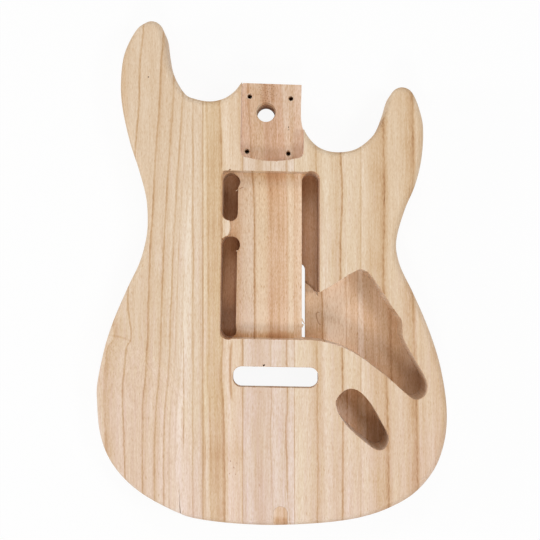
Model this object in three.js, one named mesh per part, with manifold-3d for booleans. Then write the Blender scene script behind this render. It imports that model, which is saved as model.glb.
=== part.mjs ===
// Electric guitar body: a blank glued up from staves, routed from both sides, with a small wood patch let
// into the tail edge. Millimetres. The back lies on Z = 0 and the front faces +Z, the neck points to +Y and
// the treble side to +X. The origin is in the middle of the outline, on the back.

import * as THREE from 'three';
import { mergeVertices } from 'three/addons/utils/BufferGeometryUtils.js';
import Module from 'manifold-3d';

const wasm = await Module();
wasm.setup();

// Whole body
const body_length = 458;
const body_width = 320;
const body_thickness = 45;
const edge_radius = 6;
const cut_overrun = 14;
const fit_clearance = 0.3;

// Glue joints between the staves: the outer two as shares of the body's width from the bass side, and the
// inner two by the centre stave's reach to each side of the pickup route's middle
const bass_joint_share = 0.308;
const treble_joint_share = 0.7544;
const centre_stave_to_bass = 24.8;
const centre_stave_to_treble = 21.8;

// Forearm contour on the front and belly contour on the back, both on the bass side
const arm_depth = 12;
const arm_across = 83;
const arm_along = 84;
const arm_edge_radius = 4;
const belly_depth = 15;
const belly_across = 62;
const belly_along = 96;

// Pickup route: one pad with a deeper channel along each side
const route_width = 89;
const route_length = 151.6;
const route_depth = 17;
const route_corner = 6.5;
const route_turn_share = -0.0175;
const route_place_shares = [0.4985, 0.5352];
const bass_channel_width = 13.8;
const bass_channel_depth = 40;
const treble_channel_width = 15.6;
const tab_length = 21;
const tab_reach = 8.2;

// Neck pocket, open at the heel and at the treble cutaway
const pocket_width = 57;
const pocket_depth = 16;
const pocket_corner = 7.5;
const pocket_bow = 2.6;
const pocket_length = 72.4;
const pocket_offset = 1.3;

// Neck screws, and the larger hole between them
const neck_screw_diameter = 4.2;
const neck_screw_spacing_x = 38.1;
const neck_screw_spacing_y = 50.8;
const neck_screw_turn_share = -0.049;
const neck_screw_place_share = 0.48;
const neck_screws_to_bass = 1.3;
const hanger_hole_diameter = 16.5;
const hanger_hole_to_bass = 2.8;
const hanger_hole_to_neck = 11.2;

// Tremolo: a slot in the front, a deep well for the block behind it and a shallow spring bay in the back
const tremolo_slot_width = 77.3;
const tremolo_slot_height = 18.5;
const tremolo_slot_corner = 8;
const tremolo_below_route = 34.4;
const tremolo_offset = 4.7;
const tremolo_lip = 10;
const block_well_width = 80;
const block_well_height = 34;
const spring_bay_width = 56;
const spring_bay_depth = 16;
const spring_bay_corner = 6;
const spring_bay_reach = 103;

// Control cavity, joined to the treble channel by a bay, and the jack cavity
const control_to_treble_edge = 18.7;
const control_length = 117.4;
const control_depth = 37;
const control_below_route = 54.4;
const bay_width = 13.3;
const jack_width = 47.8;
const jack_length = 55.2;
const jack_depth = 38;
const jack_place_shares = [0.7595, 0.2109];
const wire_bore_diameter = 8;

// Patch let into the front at the tail edge
const patch_width = 12.8;
const patch_length = 18.1;
const patch_depth = 13;
const patch_place_share = 0.5269;

// The outline's places, as shares of the body's width from the bass side and of its length from the tail,
// from the heel's bass corner round the horns and bouts to the heel's treble corner
const rim_shares = [
  [0.420, 0.882], [0.396, 0.861], [0.367, 0.847], [0.327, 0.841], [0.283, 0.846], [0.258, 0.854],
  [0.215, 0.906], [0.204, 0.940], [0.197, 0.975], [0.189, 0.989], [0.174, 0.998], [0.157, 1.000],
  [0.139, 0.995], [0.120, 0.985], [0.084, 0.937], [0.073, 0.881], [0.076, 0.835], [0.099, 0.759],
  [0.125, 0.703], [0.145, 0.648], [0.149, 0.600], [0.145, 0.570], [0.126, 0.521], [0.094, 0.474],
  [0.041, 0.385], [0.001, 0.276], [0.000, 0.241], [0.006, 0.186], [0.026, 0.139], [0.064, 0.098],
  [0.130, 0.058], [0.247, 0.020], [0.327, 0.008], [0.469, 0.000], [0.577, 0.001], [0.686, 0.007],
  [0.760, 0.016], [0.833, 0.033], [0.907, 0.063], [0.964, 0.110], [0.993, 0.165], [1.000, 0.226],
  [0.981, 0.316], [0.947, 0.391], [0.905, 0.459], [0.865, 0.519], [0.856, 0.560], [0.880, 0.625],
  [0.908, 0.671], [0.926, 0.719], [0.933, 0.775], [0.928, 0.810], [0.898, 0.861], [0.872, 0.869],
  [0.847, 0.861], [0.825, 0.819], [0.806, 0.788], [0.773, 0.761], [0.737, 0.745], [0.694, 0.740],
  [0.659, 0.743], [0.629, 0.753], [0.600, 0.777], [0.588, 0.801], [0.588, 0.878],
];

// The control cavity's rim, as shares of its width from the bay's treble side and of its length from its
// tailward end: over the top, round the lobe by the treble edge and back along the lower wall
const control_rim_shares = [
  [0.000, 0.813], [0.069, 0.843], [0.221, 0.921], [0.337, 0.980], [0.395, 1.000], [0.464, 0.975],
  [0.615, 0.798], [0.688, 0.700], [0.763, 0.612], [0.771, 0.588], [0.778, 0.485], [0.803, 0.434],
  [0.892, 0.300], [0.950, 0.216], [0.995, 0.133], [1.000, 0.096], [0.987, 0.040], [0.936, 0.004],
  [0.882, 0.000], [0.806, 0.047], [0.690, 0.135], [0.487, 0.273], [0.360, 0.347], [0.221, 0.406],
  [0.046, 0.449],
];

// The jack cavity's rim, as shares of its width and length about its middle
const jack_rim_shares = [
  [-0.500, 0.272], [-0.418, 0.069], [-0.320, -0.063], [-0.165, -0.206], [0.033, -0.362], [0.232, -0.480],
  [0.305, -0.500], [0.458, -0.409], [0.500, -0.308], [0.477, -0.197], [0.404, -0.056], [0.287, 0.100],
  [0.169, 0.257], [0.015, 0.413], [-0.222, 0.500],
];

// Where the contours lie: the middle of each at the rim, the point that their grids run towards, and how far
// in from the bass side the stretch of rim lies that they start from
const arm_place_shares = [0.0172, 0.1904];
const arm_focus_shares = [0.36, 0.278];
const arm_inner_share = 0.33;
const belly_place_shares = [0.150, 0.620];
const belly_focus_shares = [1.7, 0.60];
const belly_inner_share = 0.19;

// How finely curved shapes are cut into facets
const rim_steps = 4;
const round_steps = 4;
const contour_rows = 7;
const contour_skip_steps = 2;
const curve_steps = 6;
const hole_steps = 24;
const wall_steps = 3;

const middle_share = 0.5;
const front = body_thickness;
const route_floor = front - route_depth;
const channel_floor = front - bass_channel_depth;

const woods = {
  stave_bass_wing: { color: 0xdcbd9f, roughness: 0.72, metalness: 0 },
  stave_bass_inner: { color: 0xd9bc98, roughness: 0.72, metalness: 0 },
  stave_centre_neck: { color: 0xdcba9a, roughness: 0.72, metalness: 0 },
  stave_centre_tail: { color: 0xdcba9a, roughness: 0.72, metalness: 0 },
  stave_treble_inner: { color: 0xe0c4a4, roughness: 0.72, metalness: 0 },
  stave_treble_wing: { color: 0xe2c6a6, roughness: 0.72, metalness: 0 },
  tail_patch: { color: 0xd8b48e, roughness: 0.75, metalness: 0 },
};

const across = (share) => (share - middle_share) * body_width;
const along = (share) => (share - middle_share) * body_length;
const place = ([x_share, y_share]) => new THREE.Vector2(across(x_share), along(y_share));

// A closed solid from a geometry, with its shared corners merged
function solidOf(geometry) {
  const bare = geometry.index ? geometry.toNonIndexed() : geometry.clone();
  bare.deleteAttribute('normal');
  bare.deleteAttribute('uv');
  const merged = mergeVertices(bare);
  return new wasm.Manifold(new wasm.Mesh({
    numProp: 3,
    vertProperties: new Float32Array(merged.attributes.position.array),
    triVerts: new Uint32Array(merged.index.array),
  }));
}

// A prism on a plan shape between two heights
function prism(shape, bottom, top) {
  const geometry = new THREE.ExtrudeGeometry(shape, {
    depth: top - bottom,
    bevelEnabled: false,
    curveSegments: curve_steps,
  });
  return solidOf(geometry.translate(0, 0, bottom));
}

const cutFromFront = (shape, floor) => prism(shape, floor, front + cut_overrun);
const cutFromBack = (shape, ceiling) => prism(shape, -cut_overrun, ceiling);
const cutThrough = (shape) => prism(shape, -cut_overrun, front + cut_overrun);

function moved(shape, turn, x, y) {
  const points = shape.getPoints(curve_steps);
  const centre = new THREE.Vector2();
  const offset = new THREE.Vector2(x, y);
  return new THREE.Shape(points.map((point) => point.clone().rotateAround(centre, turn).add(offset)));
}

function rectangle(left, bottom, right, top) {
  return new THREE.Shape([
    new THREE.Vector2(left, bottom),
    new THREE.Vector2(right, bottom),
    new THREE.Vector2(right, top),
    new THREE.Vector2(left, top),
  ]);
}

function roundedRectangle(width, height, corner) {
  const x = width / 2 - corner;
  const y = height / 2 - corner;
  const shape = new THREE.Shape();
  shape.absarc(x, -y, corner, -Math.PI / 2, 0, false);
  shape.absarc(x, y, corner, 0, Math.PI / 2, false);
  shape.absarc(-x, y, corner, Math.PI / 2, Math.PI, false);
  shape.absarc(-x, -y, corner, Math.PI, 1.5 * Math.PI, false);
  return shape;
}

// A slot with round ends, from its upper end's centre to its lower end's
function slot(top, bottom, width) {
  const radius = width / 2;
  const lean = Math.atan2(top.x - bottom.x, top.y - bottom.y);
  const shape = new THREE.Shape();
  shape.absarc(top.x, top.y, radius, -lean, Math.PI - lean, false);
  shape.absarc(bottom.x, bottom.y, radius, Math.PI - lean, 2 * Math.PI - lean, false);
  return shape;
}

function circle(x, y, diameter) {
  const shape = new THREE.Shape();
  shape.absarc(x, y, diameter / 2, 0, 2 * Math.PI, false);
  return new THREE.Shape(shape.getSpacedPoints(hole_steps).slice(0, hole_steps));
}

// The outline, from the heel's bass corner anticlockwise on the plan, fitted to the body's length and width
function makeRim() {
  const places = rim_shares.map(place).map((point) => new THREE.Vector3(point.x, point.y, 0));
  const curve = new THREE.CatmullRomCurve3(places, false, 'centripetal');
  const points = curve.getPoints((places.length - 1) * rim_steps);
  const box = new THREE.Box3().setFromPoints(points);
  const size = box.getSize(new THREE.Vector3());
  const centre = box.getCenter(new THREE.Vector3());
  const fitted = (point) => new THREE.Vector2(
    (point.x - centre.x) * body_width / size.x,
    (point.y - centre.y) * body_length / size.y,
  );
  return points.map(fitted);
}

const rim = makeRim();
const heel_bass = rim[0];
const heel_treble = rim[rim.length - 1];

// The way inwards at each point of the rim. At the heel's corners it runs along the heel's end, which
// stays a flat face between the rounded edges.
function makeInward() {
  const last = rim.length - 1;
  const heel_line = heel_treble.clone().sub(heel_bass).normalize();
  return rim.map((point, index) => {
    const before = rim[Math.max(index - 1, 0)];
    const after = rim[Math.min(index + 1, last)];
    const tangent = after.clone().sub(before).normalize();
    const normal = new THREE.Vector2(-tangent.y, tangent.x);
    if (index !== 0 && index !== last) return normal;
    const way = index === 0 ? heel_line.clone() : heel_line.clone().negate();
    return way.divideScalar(way.dot(normal));
  });
}

const inward = makeInward();

// The blank: rings of the outline, drawn in where the front and back edges are rounded over
function makeBlank() {
  const levels = [];
  for (let step = 0; step <= round_steps; step += 1) {
    const angle = (step / round_steps) * Math.PI / 2;
    levels.push([edge_radius * (1 - Math.sin(angle)), edge_radius * (1 - Math.cos(angle))]);
  }
  for (let step = round_steps; step >= 0; step -= 1) {
    const [inset, height] = levels[step];
    levels.push([inset, front - height]);
  }
  const count = rim.length;
  const positions = [];
  for (const [inset, height] of levels) {
    rim.forEach((point, index) => {
      const corner = point.clone().addScaledVector(inward[index], inset);
      positions.push(corner.x, corner.y, height);
    });
  }
  const faces = [];
  for (let level = 0; level + 1 < levels.length; level += 1) {
    for (let index = 0; index < count; index += 1) {
      const next = (index + 1) % count;
      const low = level * count;
      const high = low + count;
      faces.push(low + index, low + next, high + next);
      faces.push(low + index, high + next, high + index);
    }
  }
  const inner = rim.map((point, index) => point.clone().addScaledVector(inward[index], edge_radius));
  const cap = THREE.ShapeUtils.triangulateShape(inner, []);
  const top = (levels.length - 1) * count;
  for (const [a, b, c] of cap) {
    faces.push(top + a, top + b, top + c);
    faces.push(c, b, a);
  }
  const geometry = new THREE.BufferGeometry();
  geometry.setAttribute('position', new THREE.BufferAttribute(new Float32Array(positions), 3));
  geometry.setIndex(faces);
  return solidOf(geometry);
}

// A contour's cutter. Its grid starts outside a stretch of the rim and runs inwards to a focus. Its working
// face lies at the contour's depth, rounded over again at the rim, and its other face lies clear of the wood.
function makeContour({ middle, focus, inner_share, depth, reach_x, reach_y, radius, from_front }) {
  const margin_share = 1.1;
  const carries = (point) => point.x < across(inner_share)
    && Math.abs(point.y - middle.y) < reach_y * margin_share;
  const starts = rim.filter(carries).filter((point, index) => index % contour_skip_steps === 0);
  const columns = starts.length - 1;
  const insets = [-cut_overrun];
  for (let step = 0; step <= round_steps; step += 1) {
    insets.push(radius * (1 - Math.cos((step / round_steps) * Math.PI / 2)));
  }
  const full_reach = reach_x * margin_share;
  for (let row = 1; row <= contour_rows; row += 1) {
    insets.push(radius + (full_reach - radius) * row / contour_rows);
  }
  const face_height = (x, y, inset) => {
    const far_x = Math.max(x - middle.x, 0) / reach_x;
    const far_y = (y - middle.y) / reach_y;
    const beyond = from_front ? Math.max(far_y, 0) : far_y;
    const lift = cut_overrun * middle_share;
    const cut = Math.max(depth * (1 - far_x * far_x - beyond * beyond), -lift);
    const left = Math.max(radius - Math.max(inset, 0), 0);
    const rounding = radius - Math.sqrt(radius * radius - left * left);
    return from_front ? front - cut - rounding : cut + rounding;
  };
  const clear = from_front ? front + cut_overrun : -cut_overrun;
  const work = [];
  const other = [];
  for (const start of starts) {
    const way = focus.clone().sub(start).normalize();
    for (const inset of insets) {
      const point = start.clone().addScaledVector(way, inset);
      work.push(point.x, point.y, face_height(point.x, point.y, inset));
      other.push(point.x, point.y, clear);
    }
  }
  const rows = insets.length;
  const offset = (columns + 1) * rows;
  const at = (column, row, side) => side * offset + column * rows + row;
  const faces = [];
  const quad = (a, b, c, d) => faces.push(a, b, c, a, c, d);
  const last = rows - 1;
  for (let column = 0; column < columns; column += 1) {
    for (let row = 0; row + 1 < rows; row += 1) {
      quad(at(column, row, 0), at(column, row + 1, 0), at(column + 1, row + 1, 0), at(column + 1, row, 0));
      quad(at(column, row, 1), at(column + 1, row, 1), at(column + 1, row + 1, 1), at(column, row + 1, 1));
    }
    quad(at(column, 0, 0), at(column + 1, 0, 0), at(column + 1, 0, 1), at(column, 0, 1));
    quad(at(column, last, 0), at(column, last, 1), at(column + 1, last, 1), at(column + 1, last, 0));
  }
  for (let row = 0; row + 1 < rows; row += 1) {
    quad(at(0, row, 0), at(0, row, 1), at(0, row + 1, 1), at(0, row + 1, 0));
    const end = columns;
    quad(at(end, row, 0), at(end, row + 1, 0), at(end, row + 1, 1), at(end, row, 1));
  }
  if (!from_front) {
    for (let index = 0; index < faces.length; index += 3) {
      [faces[index], faces[index + 1]] = [faces[index + 1], faces[index]];
    }
  }
  const geometry = new THREE.BufferGeometry();
  geometry.setAttribute('position', new THREE.BufferAttribute(new Float32Array([...work, ...other]), 3));
  geometry.setIndex(faces);
  return solidOf(geometry);
}

// Places that several cuts share
const route_centre = place(route_place_shares);
const route_top = route_centre.y + route_length / 2;
const route_bottom = route_centre.y - route_length / 2;
const route_left = route_centre.x - route_width / 2;
const route_right = route_centre.x + route_width / 2;
const heel_end = (heel_bass.y + heel_treble.y) / 2;
const pocket_bottom = heel_end - pocket_length;
const tremolo_centre = new THREE.Vector2(route_centre.x + tremolo_offset, route_bottom - tremolo_below_route);
const well_top = tremolo_centre.y + tremolo_slot_height / 2;
const treble_channel_left = route_right - treble_channel_width;
const control_left = treble_channel_left + bay_width;
const control_width = across(1) - control_to_treble_edge - control_left;
const control_bottom = route_bottom - control_below_route;

// The pickup pad, with a tab of full-height wood left standing on its bass side
function padShape() {
  const half_x = route_width / 2;
  const half_y = route_length / 2;
  const tab_middle = half_y * 0.33;
  const tab_half = tab_length / 2;
  const shape = new THREE.Shape();
  shape.moveTo(-half_x, -half_y + route_corner);
  shape.quadraticCurveTo(-half_x, -half_y, -half_x + route_corner, -half_y);
  shape.lineTo(half_x - treble_channel_width / 2, -half_y);
  shape.lineTo(half_x - treble_channel_width / 2, half_y);
  shape.lineTo(-half_x + route_corner / 2, half_y);
  shape.quadraticCurveTo(-half_x, half_y, -half_x, half_y - route_corner / 2);
  shape.lineTo(-half_x, tab_middle + tab_half);
  shape.bezierCurveTo(
    -half_x + tab_reach * 1.33, tab_middle + tab_half,
    -half_x + tab_reach * 1.33, tab_middle - tab_half,
    -half_x, tab_middle - tab_half,
  );
  return moved(shape, route_turn_share, route_centre.x, route_centre.y);
}

// The deep channels beside the pad: two slots on the bass side, and one on the treble side whose lower end
// meets the bay in a convex step
function bassChannels() {
  const radius = bass_channel_width / 2;
  const x = -route_width / 2 + radius;
  const upper = slot(
    new THREE.Vector2(x, route_length / 2 - radius - fit_clearance),
    new THREE.Vector2(x, route_length / 4),
    bass_channel_width,
  );
  const lower = slot(
    new THREE.Vector2(x, route_length / 15),
    new THREE.Vector2(x, -route_length / 2 + radius),
    bass_channel_width,
  );
  return [upper, lower].map((shape) => moved(shape, route_turn_share, route_centre.x, route_centre.y));
}

function trebleChannel() {
  const radius = treble_channel_width / 2;
  const top = route_top - radius;
  const bay_top = control_bottom + control_length;
  const shape = new THREE.Shape();
  shape.absarc(route_right - radius, top, radius, 0, Math.PI, false);
  shape.lineTo(treble_channel_left, bay_top - radius * 1.5);
  shape.quadraticCurveTo(route_right - radius, bay_top - radius * 1.6, route_right, bay_top - radius * 3.2);
  return shape;
}

function pocketShape() {
  const half = pocket_width / 2;
  const mouth = heel_end - pocket_bottom + cut_overrun;
  const shape = new THREE.Shape();
  shape.moveTo(-half, mouth);
  shape.lineTo(-half, pocket_bow + pocket_corner);
  shape.quadraticCurveTo(-half, pocket_bow, -half + pocket_corner, pocket_bow);
  shape.quadraticCurveTo(0, -pocket_bow, half - pocket_corner, pocket_bow);
  shape.quadraticCurveTo(half, pocket_bow, half, pocket_bow + pocket_corner);
  shape.lineTo(half, mouth);
  return moved(shape, route_turn_share, route_centre.x + pocket_offset, pocket_bottom);
}

function neckHoles() {
  const middle_y = pocket_bottom + (heel_end - pocket_bottom) * neck_screw_place_share;
  const middle = new THREE.Vector2(route_centre.x - neck_screws_to_bass, middle_y);
  const holes = [];
  for (const side_x of [-1, 1]) {
    for (const side_y of [-1, 1]) {
      const hole = new THREE.Vector2(side_x * neck_screw_spacing_x / 2, side_y * neck_screw_spacing_y / 2);
      hole.rotateAround(new THREE.Vector2(), neck_screw_turn_share).add(middle);
      holes.push(circle(hole.x, hole.y, neck_screw_diameter));
    }
  }
  const hanger = new THREE.Vector2(middle.x - hanger_hole_to_bass, middle.y + hanger_hole_to_neck);
  holes.push(circle(hanger.x, hanger.y, hanger_hole_diameter));
  return holes;
}

function controlShape() {
  const points = control_rim_shares.map(([x_share, y_share]) => new THREE.Vector3(
    control_left + x_share * control_width,
    control_bottom + y_share * control_length,
    0,
  ));
  const curve = new THREE.CatmullRomCurve3(points, false, 'centripetal');
  const bay = [
    new THREE.Vector2(treble_channel_left, route_bottom),
    new THREE.Vector2(treble_channel_left, control_bottom + control_length),
  ];
  const wall = curve.getPoints((points.length - 1) * wall_steps);
  return new THREE.Shape([...bay, ...wall.map((point) => new THREE.Vector2(point.x, point.y))]);
}

function jackShape() {
  const centre = place(jack_place_shares);
  const points = jack_rim_shares.map(([x_share, y_share]) => new THREE.Vector3(
    centre.x + x_share * jack_width,
    centre.y + y_share * jack_length,
    0,
  ));
  const curve = new THREE.CatmullRomCurve3(points, true, 'centripetal');
  const wall = curve.getPoints(points.length * wall_steps).slice(1);
  return new THREE.Shape(wall.map((point) => new THREE.Vector2(point.x, point.y)));
}

// The drilled way for wires between the control cavity and the jack cavity
function wireBore() {
  const jack = place(jack_place_shares);
  const control = new THREE.Vector2(control_left + control_width / 2, control_bottom + control_length / 2);
  const length = jack.distanceTo(control);
  const radius = wire_bore_diameter / 2;
  const bore = new THREE.CylinderGeometry(radius, radius, length, hole_steps / 2);
  bore.rotateZ(Math.atan2(control.y - jack.y, control.x - jack.x) - Math.PI / 2);
  bore.translate((jack.x + control.x) / 2, (jack.y + control.y) / 2, front - jack_depth + wire_bore_diameter);
  return solidOf(bore);
}

function tremoloCuts() {
  const front_slot = moved(
    roundedRectangle(tremolo_slot_width, tremolo_slot_height, tremolo_slot_corner),
    route_turn_share,
    tremolo_centre.x,
    tremolo_centre.y,
  );
  const well = moved(
    roundedRectangle(block_well_width, block_well_height, spring_bay_corner),
    0,
    tremolo_centre.x,
    well_top - block_well_height / 2,
  );
  const spring_length = spring_bay_reach + spring_bay_corner;
  const springs = moved(
    roundedRectangle(spring_bay_width, spring_length, spring_bay_corner),
    0,
    tremolo_centre.x,
    tremolo_centre.y + spring_length / 2 - spring_bay_corner,
  );
  return [
    cutThrough(front_slot),
    cutFromBack(well, front - tremolo_lip),
    cutFromBack(springs, spring_bay_depth),
  ];
}

// The patch's plan: round at its inner end and open past the tail edge
function patchShape(gap) {
  const middle = across(patch_place_share);
  const half = patch_width / 2 + gap;
  const end = along(0) + patch_length + gap;
  const shape = new THREE.Shape();
  shape.absarc(middle, end - half, half, 0, Math.PI, false);
  shape.lineTo(middle - half, along(0) - cut_overrun);
  shape.lineTo(middle + half, along(0) - cut_overrun);
  return shape;
}

const arm = makeContour({
  middle: place(arm_place_shares),
  focus: place(arm_focus_shares),
  inner_share: arm_inner_share,
  depth: arm_depth,
  reach_x: arm_across,
  reach_y: arm_along,
  radius: arm_edge_radius,
  from_front: true,
});
const belly = makeContour({
  middle: place(belly_place_shares),
  focus: place(belly_focus_shares),
  inner_share: belly_inner_share,
  depth: belly_depth,
  reach_x: belly_across,
  reach_y: belly_along,
  radius: edge_radius,
  from_front: false,
});
const cuts = [
  arm,
  belly,
  cutFromFront(padShape(), route_floor),
  ...bassChannels().map((shape) => cutFromFront(shape, channel_floor)),
  cutFromFront(trebleChannel(), channel_floor),
  cutFromFront(pocketShape(), front - pocket_depth),
  ...neckHoles().map(cutThrough),
  cutFromFront(controlShape(), front - control_depth),
  cutFromFront(jackShape(), front - jack_depth),
  wireBore(),
  ...tremoloCuts(),
];
const blank = makeBlank();
const routed = cuts.reduce((body, cutter) => body.subtract(cutter), blank);
const patch_floor = front - patch_depth;
const staves = routed.subtract(cutFromFront(patchShape(fit_clearance), patch_floor));

// Each stave is the slab of the body between two glue joints
function slab(left, right, bottom, top) {
  return cutThrough(rectangle(left, bottom, right, top));
}

const tail = along(0) - cut_overrun;
const head = along(1) + cut_overrun;
const bass_edge = across(0) - cut_overrun;
const treble_edge = across(1) + cut_overrun;
const joints = {
  bass: across(bass_joint_share),
  bass_neck: route_centre.x - centre_stave_to_bass,
  treble_neck: route_centre.x + centre_stave_to_treble,
  treble: across(treble_joint_share),
};
const pieces = {
  stave_bass_wing: staves.intersect(slab(bass_edge, joints.bass, tail, head)),
  stave_bass_inner: staves.intersect(slab(joints.bass, joints.bass_neck, tail, head)),
  stave_centre_neck: staves.intersect(slab(joints.bass_neck, joints.treble_neck, tremolo_centre.y, head)),
  stave_centre_tail: staves.intersect(slab(joints.bass_neck, joints.treble_neck, tail, tremolo_centre.y)),
  stave_treble_inner: staves.intersect(slab(joints.treble_neck, joints.treble, tail, head)),
  stave_treble_wing: staves.intersect(slab(joints.treble, treble_edge, tail, head)),
  tail_patch: blank.intersect(cutFromFront(patchShape(0), patch_floor)),
};

function meshOf(name, solid) {
  const { vertProperties, triVerts } = solid.getMesh();
  const geometry = new THREE.BufferGeometry();
  geometry.setAttribute('position', new THREE.BufferAttribute(new Float32Array(vertProperties), 3));
  geometry.setIndex(new THREE.BufferAttribute(new Uint32Array(triVerts), 1));
  geometry.computeVertexNormals();
  const mesh = new THREE.Mesh(geometry, new THREE.MeshStandardMaterial(woods[name]));
  mesh.name = name;
  return mesh;
}

const guitar_body = new THREE.Group();
for (const [name, solid] of Object.entries(pieces)) guitar_body.add(meshOf(name, solid));

export default guitar_body;
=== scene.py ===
# %% [markdown]
# # A solid electric guitar body, bare and sanded
# The real one is glued up from five boards of paulownia, a light and soft timber. It is sawn to its outline,
# rounded over, routed from both sides and sanded. The CAD model is loaded first, because it says where
# everything is. Every piece made here takes the place of one CAD solid and keeps its size.

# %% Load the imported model
import math

import bmesh
import bpy
import numpy as np
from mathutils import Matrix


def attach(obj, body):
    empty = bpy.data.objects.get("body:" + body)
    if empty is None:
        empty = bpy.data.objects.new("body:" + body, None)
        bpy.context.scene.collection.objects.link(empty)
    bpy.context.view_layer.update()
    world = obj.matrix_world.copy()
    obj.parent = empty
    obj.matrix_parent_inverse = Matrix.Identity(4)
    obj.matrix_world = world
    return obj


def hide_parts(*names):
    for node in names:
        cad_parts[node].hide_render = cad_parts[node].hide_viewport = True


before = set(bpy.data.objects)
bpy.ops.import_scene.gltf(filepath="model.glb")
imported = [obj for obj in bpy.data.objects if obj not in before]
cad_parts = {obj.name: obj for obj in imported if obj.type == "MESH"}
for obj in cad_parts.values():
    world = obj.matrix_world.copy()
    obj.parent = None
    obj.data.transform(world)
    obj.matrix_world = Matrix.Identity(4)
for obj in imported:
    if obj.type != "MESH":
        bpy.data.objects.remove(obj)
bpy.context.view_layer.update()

# %% [markdown]
# ## The camera
# The photograph was taken from straight above, from a little under a metre away. The deep walls of the
# cavities lean outwards in it, which gives the height and the lens. The camera is set up first.

# %% Camera straight above the front
MM = 0.001
FRAME_PIXELS = 540
FOCAL_PIXELS = 973.6
CAMERA_PLACE = (-0.86, 2.8, 925.0)

camera_data = bpy.data.cameras.new("camera")
camera_data.sensor_width = 36.0
camera_data.lens = camera_data.sensor_width * FOCAL_PIXELS / FRAME_PIXELS
camera = bpy.data.objects.new("camera", camera_data)
camera.location = [value * MM for value in CAMERA_PLACE]
bpy.context.scene.collection.objects.link(camera)
bpy.context.scene.camera = camera
print("lens", round(camera_data.lens, 2), "mm")

# %% [markdown]
# ## Sizes
# These are the sizes of the CAD model, in millimetres, so that the finer surfaces made here lie where its
# solids lie. Places along the outline are shares of the body's width from the bass side, and of its length
# from the tail.

# %% Sizes of the blank and of its boards
LENGTH = 458.0
WIDTH = 320.0
FRONT = 45.0
EDGE_RADIUS = 6.0
# How far cutters and slabs reach out past the blank
BEYOND = 14.0

RIM_SHARES = np.array([
    [0.420, 0.882], [0.396, 0.861], [0.367, 0.847], [0.327, 0.841], [0.283, 0.846], [0.258, 0.854],
    [0.215, 0.906], [0.204, 0.940], [0.197, 0.975], [0.189, 0.989], [0.174, 0.998], [0.157, 1.000],
    [0.139, 0.995], [0.120, 0.985], [0.084, 0.937], [0.073, 0.881], [0.076, 0.835], [0.099, 0.759],
    [0.125, 0.703], [0.145, 0.648], [0.149, 0.600], [0.145, 0.570], [0.126, 0.521], [0.094, 0.474],
    [0.041, 0.385], [0.001, 0.276], [0.000, 0.241], [0.006, 0.186], [0.026, 0.139], [0.064, 0.098],
    [0.130, 0.058], [0.247, 0.020], [0.327, 0.008], [0.469, 0.000], [0.577, 0.001], [0.686, 0.007],
    [0.760, 0.016], [0.833, 0.033], [0.907, 0.063], [0.964, 0.110], [0.993, 0.165], [1.000, 0.226],
    [0.981, 0.316], [0.947, 0.391], [0.905, 0.459], [0.865, 0.519], [0.856, 0.560], [0.880, 0.625],
    [0.908, 0.671], [0.926, 0.719], [0.933, 0.775], [0.928, 0.810], [0.898, 0.861], [0.872, 0.869],
    [0.847, 0.861], [0.825, 0.819], [0.806, 0.788], [0.773, 0.761], [0.737, 0.745], [0.694, 0.740],
    [0.659, 0.743], [0.629, 0.753], [0.600, 0.777], [0.588, 0.801], [0.588, 0.878],
])
BASS_JOINT = (0.308 - 0.5) * WIDTH
TREBLE_JOINT = (0.7544 - 0.5) * WIDTH


def place(shares):
    """Shares of the width and length become millimetres from the middle of the outline."""
    return (np.asarray(shares, float) - 0.5) * [WIDTH, LENGTH]


print(len(RIM_SHARES), "places on the outline")

# %% [markdown]
# ## Curves
# The outline was drawn through measured places. A centripetal Catmull-Rom curve passes through all of them
# without overshooting, as a bent spline does on a draughtsman's table. Arcs and Bezier curves draw the
# routed shapes, as a template maker's rounds and curves do.

# %% Curve helpers
def smooth_curve(places, steps, closed=False):
    """A cubic between each two places. Its slopes come from the neighbours, and each place is as far along
    the curve as the square root of its distance from the last one."""
    places = np.asarray(places, float)
    if closed:
        row = np.vstack([places[-1:], places, places[:2]])
    else:
        row = np.vstack([2 * places[:1] - places[1:2], places, 2 * places[-1:] - places[-2:-1]])
    p0, p1, p2, p3 = row[:-3], row[1:-2], row[2:-1], row[3:]
    gaps = np.linalg.norm(np.diff(row, axis=0), axis=1, keepdims=True) ** 0.5
    d0, d1, d2 = gaps[:-2], gaps[1:-1], gaps[2:]
    out = ((p1 - p0) / d0 - (p2 - p0) / (d0 + d1) + (p2 - p1) / d1) * d1
    into = ((p2 - p1) / d1 - (p3 - p1) / (d1 + d2) + (p3 - p2) / d2) * d1
    t = (np.arange(steps) / steps)[None, :, None]
    p1, p2, out, into = (part[:, None, :] for part in (p1, p2, out, into))
    square = -3 * p1 + 3 * p2 - 2 * out - into
    cube = 2 * p1 - 2 * p2 + out + into
    points = (p1 + out * t + square * t ** 2 + cube * t ** 3).reshape(-1, 2)
    return points if closed else np.vstack([points, places[-1:]])


def arc(centre, radius, start, end, steps=24):
    """Points on a circle between two angles in degrees."""
    angle = np.radians(np.linspace(start, end, steps + 1))
    return np.asarray(centre) + radius * np.column_stack([np.cos(angle), np.sin(angle)])


def circle(centre, radius, steps):
    """An arc all the way round, without its last point, which repeats the first."""
    return arc(centre, radius, 0, 360, steps)[:-1]


def bezier(*controls, steps=12):
    """The control points, each weighted by its Bernstein polynomial."""
    t = np.linspace(0, 1, steps + 1)[:, None]
    order = len(controls) - 1
    weights = [math.comb(order, k) * t ** k * (1 - t) ** (order - k) for k in range(order + 1)]
    return sum(weight * np.asarray(point, float) for weight, point in zip(weights, controls))


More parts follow.
